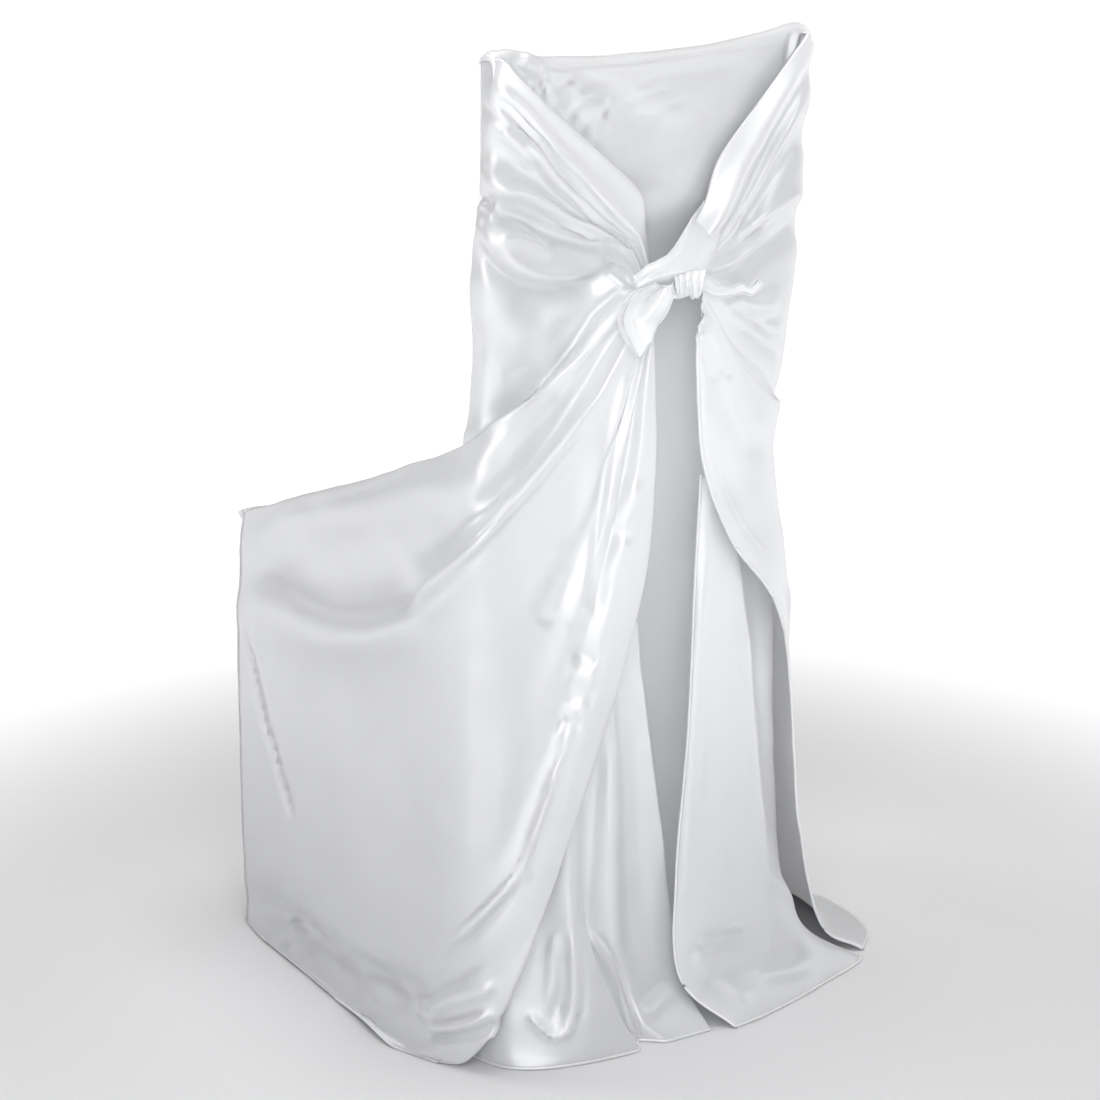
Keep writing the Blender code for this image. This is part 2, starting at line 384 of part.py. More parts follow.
def place(point):
    """A table point in centimetres as a world point in metres."""
    return tuple((value + shift) * CM for value, shift in zip(point, ORIGIN_SHIFT))


def make_sheet(name, grid, facing, look):
    """A closed sheet of cloth: the grid is its outer face and the cloth lies behind it."""
    inner = grid - facing * CLOTH * grid_normals(grid)
    grid = grid.copy()
    grid[:, :, 2] = np.maximum(grid[:, :, 2], CLOTH)
    inner[:, :, 2] = np.maximum(inner[:, :, 2], 0.0)
    rows, stations = grid.shape[:2]
    builder = bmesh.new()
    skins = []
    for skin in (grid, inner):
        skins.append([[builder.verts.new(place(point)) for point in row] for row in skin])
    outer_skin, inner_skin = skins
    for i in range(rows - 1):
        for j in range(stations - 1):
            corners = ((i, j), (i + 1, j), (i + 1, j + 1), (i, j + 1))
            builder.faces.new([outer_skin[a][b] for a, b in corners])
            builder.faces.new([inner_skin[a][b] for a, b in reversed(corners)])
    rim = [(i, 0) for i in range(rows)]
    rim += [(rows - 1, j) for j in range(1, stations)]
    rim += [(i, stations - 1) for i in range(rows - 2, -1, -1)]
    rim += [(0, j) for j in range(stations - 2, 0, -1)]
    for here, there in zip(rim, rim[1:] + rim[:1]):
        builder.faces.new([outer_skin[there[0]][there[1]], outer_skin[here[0]][here[1]],
                           inner_skin[here[0]][here[1]], inner_skin[there[0]][there[1]]])
    return finish_object(name, builder, look)


def wing_grid(table, side):
    """Grid of a wing, pulled back from the front seam."""
    grid = loft(wing_rows(table, side), FOLD_STEPS, SPAN_STEPS)
    return pull_back(grid, WING_PULL, -1)


def make_wings():
    """The two side sheets that are pulled behind the backrest."""
    make_sheet("left_wing", wing_grid(LEFT_WING, -1), 1, SATIN)
    make_sheet("right_wing", wing_grid(RIGHT_WING, 1), -1, SATIN)


def make_gores():
    """The two pleated skirts that hang behind the seat, beside the slit."""
    for name, table in (("left_gore", LEFT_GORE), ("right_gore", RIGHT_GORE)):
        rows = [[row.top, row.high, row.mid, row.low, row.foot, row.hem] for row in table]
        grid = loft(rows, FOLD_STEPS, SPAN_STEPS)
        make_sheet(name, grid, -1, SATIN)


def make_back_panel():
    """The inner back panel, round over the crown and straight down to the floor."""
    spread = np.linspace(-1.0, 1.0, PANEL_COLUMNS)
    rows = []
    for level in BACK_PANEL:
        drop = level.sag * (1.0 - np.abs(spread) ** SAG_POWER)
        height = level.z - drop + level.right_lift * 0.5 * (1.0 + spread)
        depth = np.full(PANEL_COLUMNS, level.y)
        rows.append(np.stack([level.half_width * spread, depth, height], axis=1))
    grid = loft(np.swapaxes(np.array(rows), 0, 1), 1, SPAN_STEPS)
    make_sheet("back_panel", grid, -1, PANEL_SATIN)


def make_front_panel():
    """The front: over the backrest, across the seat and down to the floor."""
    rows = []
    for level in FRONT:
        left = seam_point(-1, level.seam) + (FRONT_INSET, 0.0, 0.0)
        right = seam_point(1, level.seam) - (FRONT_INSET, 0.0, 0.0)
        halfway = 0.5 * (left + right)
        sag = np.array([0.0, level.y, level.z]) - halfway
        spread = np.linspace(-1.0, 1.0, FRONT_COLUMNS)[:, None]
        dip = sag * (1.0 - np.abs(spread) ** SAG_POWER)
        rows.append(halfway + 0.5 * spread * (right - left) + dip)
    grid = loft(np.swapaxes(np.array(rows), 0, 1), 1, SPAN_STEPS)
    make_sheet("front_panel", grid, 1, SATIN)


def make_knot():
    """The knot: a gathered lump with pleats round it."""
    builder = bmesh.new()
    centre = np.array(KNOT_CENTRE)
    size = np.array(KNOT_SIZE)
    poles = [builder.verts.new(place(centre + size * (end, 0.0, 0.0))) for end in (-1.0, 1.0)]
    loops = []
    for ring in range(1, KNOT_RINGS):
        angle = np.pi * ring / KNOT_RINGS
        loop = []
        for side in range(KNOT_SIDES):
            turn = 2.0 * np.pi * side / KNOT_SIDES
            swell = 1.0 - KNOT_PLEAT_DEPTH * (1.0 + np.cos(KNOT_PLEATS * turn)) * np.sin(angle)
            spot = (-np.cos(angle), np.sin(angle) * np.cos(turn) * swell,
                    np.sin(angle) * np.sin(turn) * swell)
            loop.append(builder.verts.new(place(centre + size * spot)))
        loops.append(loop)
    for low, high in zip(loops, loops[1:]):
        for side in range(KNOT_SIDES):
            after = (side + 1) % KNOT_SIDES
            builder.faces.new((low[side], low[after], high[after], high[side]))
    for side in range(KNOT_SIDES):
        after = (side + 1) % KNOT_SIDES
        builder.faces.new((poles[0], loops[0][after], loops[0][side]))
        builder.faces.new((poles[1], loops[-1][side], loops[-1][after]))
    finish_object("knot", builder, TIE_SATIN)


def make_tie(name, table):
    """A flattened band of gathered cloth along the bends."""
    rows = [(bend.x, bend.y, bend.z, bend.width, bend.depth) for bend in table]
    rows = smooth_curve(rows, even_steps(len(table), TIE_STEPS))
    centres = rows[:, :3]
    run = np.gradient(centres, axis=0)
    run /= np.linalg.norm(run, axis=1, keepdims=True)
    depth_way = np.array([0.0, -1.0, 0.0])
    wide_way = np.cross(run, depth_way)
    wide_way /= np.linalg.norm(wide_way, axis=1, keepdims=True)
    builder = bmesh.new()
    loops = []
    for centre, wide, row in zip(centres, wide_way, rows):
        loop = []
        for side in range(TIE_SIDES):
            turn = 2.0 * np.pi * side / TIE_SIDES
            spot = centre + wide * row[3] * np.cos(turn) + depth_way * row[4] * np.sin(turn)
            loop.append(builder.verts.new(place(spot)))
        loops.append(loop)
    for low, high in zip(loops, loops[1:]):
        for side in range(TIE_SIDES):
            after = (side + 1) % TIE_SIDES
            builder.faces.new((low[side], low[after], high[after], high[side]))
    builder.faces.new(loops[0])
    builder.faces.new(list(reversed(loops[-1])))
    finish_object(name, builder, TIE_SATIN)


make_front_panel()
make_back_panel()
make_wings()
make_gores()
make_knot()
make_tie("knot_band", KNOT_BAND)
make_tie("left_tie", LEFT_TIE)
make_tie("right_tie", RIGHT_TIE)
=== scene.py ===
"""Satin chair cover, dressed: fine sheets on the solids' folds, creases, rolled hems, knot and studio.

Seen from behind, +X is to the right, +Y is the way the sitter faces, and the floor is z = 0.
Tables are in centimetres from the middle of the backrest's foot; creases are in photo pixels.
"""
from collections import namedtuple
import math

import bpy
import numpy as np
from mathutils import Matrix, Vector, noise

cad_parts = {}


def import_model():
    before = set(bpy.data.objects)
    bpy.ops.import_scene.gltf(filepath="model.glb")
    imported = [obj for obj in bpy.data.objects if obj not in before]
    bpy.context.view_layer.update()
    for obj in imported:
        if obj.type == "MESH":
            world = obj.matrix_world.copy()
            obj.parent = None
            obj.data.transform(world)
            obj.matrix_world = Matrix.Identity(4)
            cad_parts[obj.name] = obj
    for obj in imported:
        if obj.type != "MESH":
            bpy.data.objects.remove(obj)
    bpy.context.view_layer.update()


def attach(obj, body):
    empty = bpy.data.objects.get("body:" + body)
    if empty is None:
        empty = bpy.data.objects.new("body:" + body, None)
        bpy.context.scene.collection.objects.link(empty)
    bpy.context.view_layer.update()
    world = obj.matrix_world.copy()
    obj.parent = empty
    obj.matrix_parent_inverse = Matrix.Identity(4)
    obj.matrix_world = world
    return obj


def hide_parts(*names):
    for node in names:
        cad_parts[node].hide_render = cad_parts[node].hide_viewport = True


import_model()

CM = 0.01
CM_PER_MM = 0.1
# The smallest length that is divided by, and the smallest gap between two points of a hem, in cm.
TINY = 1e-9
LEAST_GAP = 1e-4

# The shift that brings the origin under the middle of the finished cover.
ORIGIN_SHIFT = (-3.7, -15.1, 0.0)

# The camera, in table centimetres and degrees, and its focal length in photo pixels.
EYE = (-158.1, -210.3, 120.8)
AZIMUTH = -35.13
PITCH = 15.27
FOCAL_PX = 2702.0
PHOTO = 1100
SENSOR_MM = 36.0

# The cloth's thickness, the radius of a rolled hem and of a seam, in cm.
SATIN_CM = 0.06
HEM_RADIUS = 0.17
SEAM_RADIUS = 0.09
TIE_RADIUS = 0.11
# The radius of an edge that is turned under in a soft fold, and the steps of its turn in degrees.
V_FOLD = 0.2
TRAILING_FOLD = 0.4
TURN_ANGLES = (30.0, 60.0, 90.0, 120.0, 150.0, 180.0)

# How finely the sheets, hems and creases are drawn.
PANEL_COLUMNS = 21
FRONT_COLUMNS = 12
WING_FOLD_STEPS = 8
WING_SPAN_STEPS = 25
WING_LEAST_FOLD_STEPS = 4
WING_LEAST_SPAN_STEPS = 12
GORE_FOLD_STEPS = 12
GORE_SPAN_STEPS = 24
PANEL_STEPS = 8
RIB_STEPS = 12
RIB_SPAN_STEPS = 14
BEAD_SIDES = 6
# A hem's run is steep where its upward part, as a share, is more than this.
STEEP = 0.8
CREASE_STEPS = 5
# The part of a crease's length in which it fades at each end, and the slope to the line of sight, as
# a cosine, below which creases fade out.
CREASE_TAPER = 0.2
SEEN_SLOPE = 0.25
# The size and depth of each cloth's soft unevenness, in cm.
WING_RIPPLE = (3.2, 0.10)
GORE_RIPPLE = (3.0, 0.10)
BACK_RIPPLE = (5.0, 0.16)
FRONT_RIPPLE = (5.0, 0.18)
TIE_RIPPLE = (1.2, 0.06)
# How much of a wing's turn round the backrest's corner is softened, above the height of the arms, and
# the stations of a fold at that turn and on both sides of it.
CORNER_SOFT = 0.35
ARM_TOP = 64.0
FAR_STATION = 4
TURN_STATION = 5
SIDE_STATION = 6
# How far the front panel lies inside the seams, in cm, and how square the panels sag.
FRONT_INSET = 0.02
SAG_POWER = 2.6

# The lump of cloth inside the knot, with pleats round it.
FILL_CENTRE = (0.3, -6.5, 77.0)
FILL_SIZE = (2.6, 1.4, 1.45)
FILL_RINGS = 64
FILL_SIDES = 120
FILL_PLEATS = 9.0
FILL_PLEAT_DEPTH = 0.10
# The gathers under the band: how many, how finely they are drawn, and where each edge starts and how
# far it runs, in photo pixels; then the depth of the sheet, of its bulge and of its ridges, in cm.
GATHER_PLEATS = 5
GATHER_COLUMNS = 90
GATHER_ROWS = 40
GATHER_TOP = (674.0, 272.0)
GATHER_TOP_RUN = (32.0, -2.0)
GATHER_FOOT = (677.0, 296.0)
GATHER_FOOT_RUN = (24.0, 2.0)
GATHER_DEPTH = -7.7
GATHER_BULGE = 1.3
GATHER_RIDGE = 0.5
GATHER_SHARPNESS = 0.7
# The crown's rounded corners: how far each level falls there, where that starts, and the extra width.
CORNER_DROPS = (0.3, 0.9, 1.2, 0.6, 0.2, 0.0, 0.0, 0.0, 0.0, 0.0, 0.0)
CORNER_START = 0.9
CORNER_WIDE = 0.9

# Colour and roughness of each satin.
WHITE = (0.90, 0.91, 0.935)
WHITE_ROUGHNESS = 0.43
PANEL_WHITE = (0.87, 0.88, 0.90)
PANEL_ROUGHNESS = 0.46
TIE_WHITE = (0.915, 0.925, 0.94)
TIE_ROUGHNESS = 0.42
SATIN_METALLIC = 0.24
SATIN_SPECULAR = 0.6
# How much light spreads inside the cloth, and how far, in metres.
SATIN_GLOW = 0.85
SATIN_GLOW_METRES = 0.004
# Soft clouds in the colour and the gloss: size, detail, the levels that the shade runs between, the
# darker shade, and how much the roughness falls and rises.
CLOUD_SCALE = 9.0
CLOUD_DETAIL = 3.0
CLOUD_LOW = 0.35
CLOUD_HIGH = 0.65
CLOUD_SHADE = 0.975
GLOSS_FALL = 0.04
GLOSS_RISE = 0.06
# The weave's fineness along each axis, its detail, strength and depth in metres.
WEAVE_SCALE = (520.0, 520.0, 90.0)
WEAVE_DETAIL = 2.0
WEAVE_STRENGTH = 0.05
WEAVE_METRES = 0.0004
# A painted glow on the panel, an emission that stands in for the light which comes through the cloth
# round the slit: how strong, and the heights in metres over which it fades out.
SLIT_PAINTED_GLOW = 0.11
SLIT_TOP = 0.78
SLIT_FADE = 0.1
# The floor's half width, the distances between which its painted glow rises and turns it white, and its
# look.
FLOOR_REACH = 40.0
FLOOR_NEAR = 0.6
FLOOR_FAR = 1.7
FLOOR_PAINTED_GLOW = 0.85
FLOOR_PALE = 0.72
FLOOR_BLUE = 1.01
FLOOR_ROUGHNESS = 0.9
FLOOR_SPECULAR = 0.1
SURROUND = 0.29
LAMP_TARGET = (0.0, 0.0, 0.5)

Seam = namedtuple("Seam", "name x y z right_lift")
Fold = namedtuple("Fold", "name root neck near mid far turn side reach seam")
Drop = namedtuple("Drop", "name top high mid low foot hem")
Level = namedtuple("Level", "name y z sag half_width right_lift")
Front = namedtuple("Front", "name seam y z")
Crease = namedtuple("Crease", "name height left right points")
Lamp = namedtuple("Lamp", "name azimuth elevation distance size watts")
Rib = namedtuple("Rib", "name points")


def crease_rows(*rows):
    """Creases from rows of a name, a height, two reaches, and the course as x and y in turn."""
    return [Crease(*row[:4], list(zip(row[4::2], row[5::2]))) for row in rows]


# The line where a wing meets the front, as on the right; the left one is its mirror image without
# the lift.
SEAM_LINE = (
    Seam("top corner", 18.6, -1.0, 98.6, 1.1),
    Seam("upper back", 18.8, -1.2, 90.0, 0.4),
    Seam("middle back", 19.0, -0.6, 82.0, 0.0),
    Seam("lower back", 18.7, 0.4, 71.0, 0.0),
    Seam("arm start", 18.8, 1.6, 62.0, 0.0),
    Seam("arm upper", 20.5, 9.0, 58.0, 0.0),
    Seam("arm middle", 21.4, 20.0, 53.6, 0.0),
    Seam("seat corner", 21.9, 41.0, 47.6, 0.0),
    Seam("drop top", 22.3, 41.5, 43.0, 0.0),
    Seam("drop middle", 23.1, 41.5, 24.0, 0.0),
    Seam("hem corner", 23.2, 40.9, 0.2, 0.0),
)

# Folds of the left wing, from the free edge of the V down to the free inner edge. Each runs from the
# knot to its end, which is a place on the seam line or a point of the hem.
LEFT_WING = (
    Fold("v edge", (-1.6, -4.6, 79.2), (-2.1, -4.5, 82.2), (-3.0, -4.6, 85.8), (-8.0, -4.7, 90.0),
         (-13.4, -4.9, 94.2), (-17.2, -5.0, 97.4), (-18.3, -4.4, 98.7), (-18.7, -3.2, 99.0), 0.0),
    Fold("v band", (-2.0, -5.0, 79.0), (-2.8, -4.9, 81.9), (-4.9, -4.9, 85.0), (-9.4, -4.8, 89.0),
         (-14.4, -4.9, 93.3), (-17.9, -4.9, 96.6), (-18.8, -4.1, 97.4), (-18.9, -3.0, 97.7), 0.15),
    Fold("first ridge", (-2.4, -5.5, 78.8), (-3.5, -5.4, 81.7), (-6.5, -5.3, 84.5), (-10.6, -5.2, 88.1),
         (-15.2, -5.3, 92.4), (-18.3, -5.1, 95.4), (-19.0, -4.0, 95.9), (-19.1, -2.8, 96.1), 0.35),
    Fold("first valley", (-2.6, -5.2, 78.4), (-3.7, -4.8, 81.3), (-6.8, -4.3, 83.9), (-10.9, -4.2, 87.4),
         (-15.5, -4.3, 91.8), (-18.3, -4.3, 94.4), (-18.9, -3.5, 94.7), (-19.0, -2.5, 94.8), 0.5),
    Fold("second ridge", (-2.8, -5.6, 78.1), (-4.0, -5.2, 81.0), (-7.0, -4.9, 83.3), (-11.0, -4.9, 86.8),
         (-15.9, -5.0, 91.0), (-18.6, -4.6, 93.2), (-19.2, -3.6, 93.1), (-19.3, -2.6, 93.0), 0.68),
    Fold("second valley", (-2.9, -5.3, 77.8), (-4.1, -4.7, 80.7), (-7.1, -4.1, 82.6), (-11.4, -3.9, 85.5),
         (-16.0, -3.9, 88.8), (-18.6, -3.9, 90.7), (-19.2, -3.0, 90.6), (-19.3, -2.0, 90.6), 0.93),
    Fold("third ridge", (-3.0, -5.7, 77.5), (-4.2, -5.1, 80.4), (-7.0, -4.9, 82.2), (-11.2, -4.8, 84.5),
         (-16.0, -5.0, 86.7), (-18.8, -4.9, 87.4), (-19.5, -3.8, 88.2), (-19.6, -2.4, 88.6), 1.2),
    Fold("third valley", (-3.1, -5.4, 77.2), (-4.4, -4.5, 79.9), (-7.2, -3.8, 81.4), (-11.6, -3.5, 83.2),
         (-16.2, -3.5, 84.9), (-18.6, -3.6, 85.4), (-19.1, -2.7, 85.8), (-19.2, -1.8, 86.0), 1.5),
    Fold("swag fill", (-3.2, -5.7, 76.9), (-4.6, -4.9, 79.4), (-7.4, -4.4, 80.5), (-11.9, -4.4, 81.2),
         (-16.5, -4.5, 82.7), (-19.0, -4.4, 84.1), (-19.5, -3.2, 84.6), (-19.6, -2.0, 84.8), 1.65),
    Fold("swag ridge", (-3.3, -6.0, 76.6), (-4.9, -5.5, 78.7), (-7.4, -5.2, 79.4), (-12.4, -5.1, 78.8),
         (-17.0, -5.2, 80.3), (-19.6, -4.9, 82.4), (-20.1, -3.4, 83.4), (-20.0, -2.0, 83.6), 1.8),
    Fold("swag step", (-3.4, -5.8, 76.4), (-5.2, -4.6, 77.9), (-7.7, -3.4, 78.2), (-12.4, -2.9, 77.2),
         (-16.9, -3.0, 78.7), (-19.3, -3.1, 80.8), (-19.8, -2.2, 81.4), (-19.8, -1.2, 81.8), 2.0),
    Fold("flank", (-3.5, -6.0, 76.2), (-5.6, -4.8, 77.1), (-8.3, -3.5, 76.0), (-12.7, -3.3, 74.8),
         (-16.9, -3.2, 75.4), (-19.2, -2.6, 76.0), (-19.7, -1.6, 76.2), (-19.6, -0.6, 76.4), 2.5),
    Fold("lower flank", (-3.6, -6.1, 76.0), (-5.9, -4.8, 76.2), (-8.9, -3.2, 73.6), (-13.0, -2.7, 71.2),
         (-16.6, -2.5, 69.8), (-18.6, -2.0, 69.6), (-19.1, -1.0, 69.9), (-19.1, 0.1, 70.2), 3.1),
    Fold("tuck", (-3.7, -6.3, 75.8), (-6.1, -5.0, 75.6), (-9.5, -3.3, 71.7), (-13.3, -2.5, 67.6),
         (-16.9, -2.1, 64.7), (-19.4, -1.4, 63.2), (-20.0, -0.3, 62.7), (-19.8, 0.8, 62.3), 4.0),
    Fold("arm tuck", (-3.7, -6.5, 75.7), (-6.2, -5.4, 75.6), (-9.7, -4.2, 72.0), (-13.5, -3.7, 68.0),
         (-18.0, -3.2, 65.2), (-20.5, -0.9, 62.9), (-20.9, 3.2, 60.8), (-20.9, 6.2, 59.3), 5.0),
    Fold("arm hollow", (-3.8, -6.6, 75.6), (-6.3, -5.6, 75.5), (-9.8, -4.6, 72.1), (-13.6, -4.2, 68.1),
         (-18.3, -3.8, 65.5), (-20.8, -0.7, 62.7), (-21.5, 6.0, 59.5), (-21.6, 13.0, 56.5), 6.0),
    Fold("arm ridge", (-3.8, -6.7, 75.6), (-6.3, -5.8, 75.4), (-9.9, -4.9, 72.2), (-13.7, -4.6, 68.2),
         (-18.6, -4.2, 65.7), (-21.0, -0.5, 62.6), (-21.9, 9.0, 58.3), (-22.1, 24.0, 52.8), 7.0),
    Fold("arm slope", (-3.9, -6.9, 75.3), (-6.4, -6.3, 74.3), (-10.0, -5.7, 70.3), (-13.9, -5.3, 65.9),
         (-18.8, -4.9, 62.7), (-22.2, -2.4, 59.6), (-23.1, 8.0, 54.2), (-23.0, 24.0, 49.0), 7.3),
    Fold("arm valley", (-3.9, -6.8, 75.0), (-6.4, -6.2, 73.2), (-9.8, -5.0, 67.9), (-13.4, -4.5, 63.2),
         (-18.0, -4.4, 59.0), (-22.2, -3.0, 55.8), (-23.6, 7.0, 49.8), (-23.8, 23.0, 45.2), 7.65),
    Fold("lip", (-3.9, -7.2, 74.7), (-6.3, -7.3, 72.0), (-9.8, -7.2, 67.0), (-13.9, -7.1, 63.2),
         (-18.9, -7.0, 58.7), (-24.3, -6.2, 53.6), (-25.4, 6.0, 44.6), (-24.9, 23.0, 41.4), 8.0),
    Fold("under lip", (-3.9, -7.4, 74.4), (-6.0, -7.6, 70.8), (-9.0, -7.4, 65.4), (-13.1, -7.0, 59.8),
         (-18.2, -6.6, 54.6), (-23.3, -5.2, 48.6), (-24.4, 6.0, 39.8), (-24.1, 23.0, 36.8), 8.25),
    Fold("side upper", (-3.9, -7.5, 74.1), (-5.7, -7.7, 69.8), (-8.3, -7.5, 63.2), (-11.9, -7.1, 55.8),
         (-17.0, -6.4, 48.6), (-22.7, -4.6, 40.6), (-23.8, 6.0, 31.8), (-23.8, 23.0, 28.2), 8.7),
    Fold("side valley", (-3.9, -7.3, 73.8), (-5.5, -7.4, 69.2), (-7.9, -6.7, 61.2), (-10.9, -6.3, 52.8),
         (-15.6, -6.1, 43.6), (-22.5, -4.3, 32.0), (-23.8, 6.0, 22.4), (-24.0, 23.0, 16.4), 9.4),
    Fold("side lower", (-3.9, -7.6, 73.5), (-5.2, -7.9, 68.6), (-7.2, -7.5, 60.4), (-9.9, -7.2, 51.2),
         (-14.4, -6.8, 40.4), (-22.3, -4.4, 24.8), (-24.0, 5.0, 14.0), (-24.4, 21.0, 4.6), 10.0),
    Fold("band valley", (-3.8, -7.5, 73.2), (-5.0, -7.5, 68.2), (-6.6, -7.2, 59.6), (-9.0, -7.1, 50.2),
         (-13.2, -6.9, 38.0), (-21.9, -4.8, 18.4), (-24.4, 2.5, 8.8), (-25.0, 15.0, 1.6),
         (-24.4, 27.5, 0.2)),
    Fold("band ridge", (-3.7, -7.9, 72.9), (-4.6, -8.2, 67.8), (-5.8, -8.4, 59.0), (-8.0, -8.2, 49.4),
         (-12.0, -7.9, 36.6), (-20.4, -6.3, 16.4), (-24.6, -1.4, 6.8), (-25.7, 7.0, 1.2),
         (-25.5, 14.5, 0.2)),
    Fold("band middle", (-3.6, -7.9, 72.6), (-4.1, -8.3, 67.4), (-4.9, -8.6, 58.6), (-6.8, -8.5, 48.6),
         (-10.9, -8.3, 35.4), (-18.4, -7.4, 15.6), (-23.6, -4.0, 5.4), (-25.9, 0.6, 1.0),
         (-26.6, 5.2, 0.2)),
    Fold("inner edge", (-3.4, -7.7, 72.4), (-3.4, -8.0, 67.0), (-3.5, -8.2, 58.0), (-4.9, -8.2, 47.4),
         (-9.2, -8.2, 34.6), (-16.2, -8.0, 17.2), (-21.2, -6.8, 6.2), (-23.6, -4.4, 1.2),
         (-25.0, -1.6, 0.2)),
)

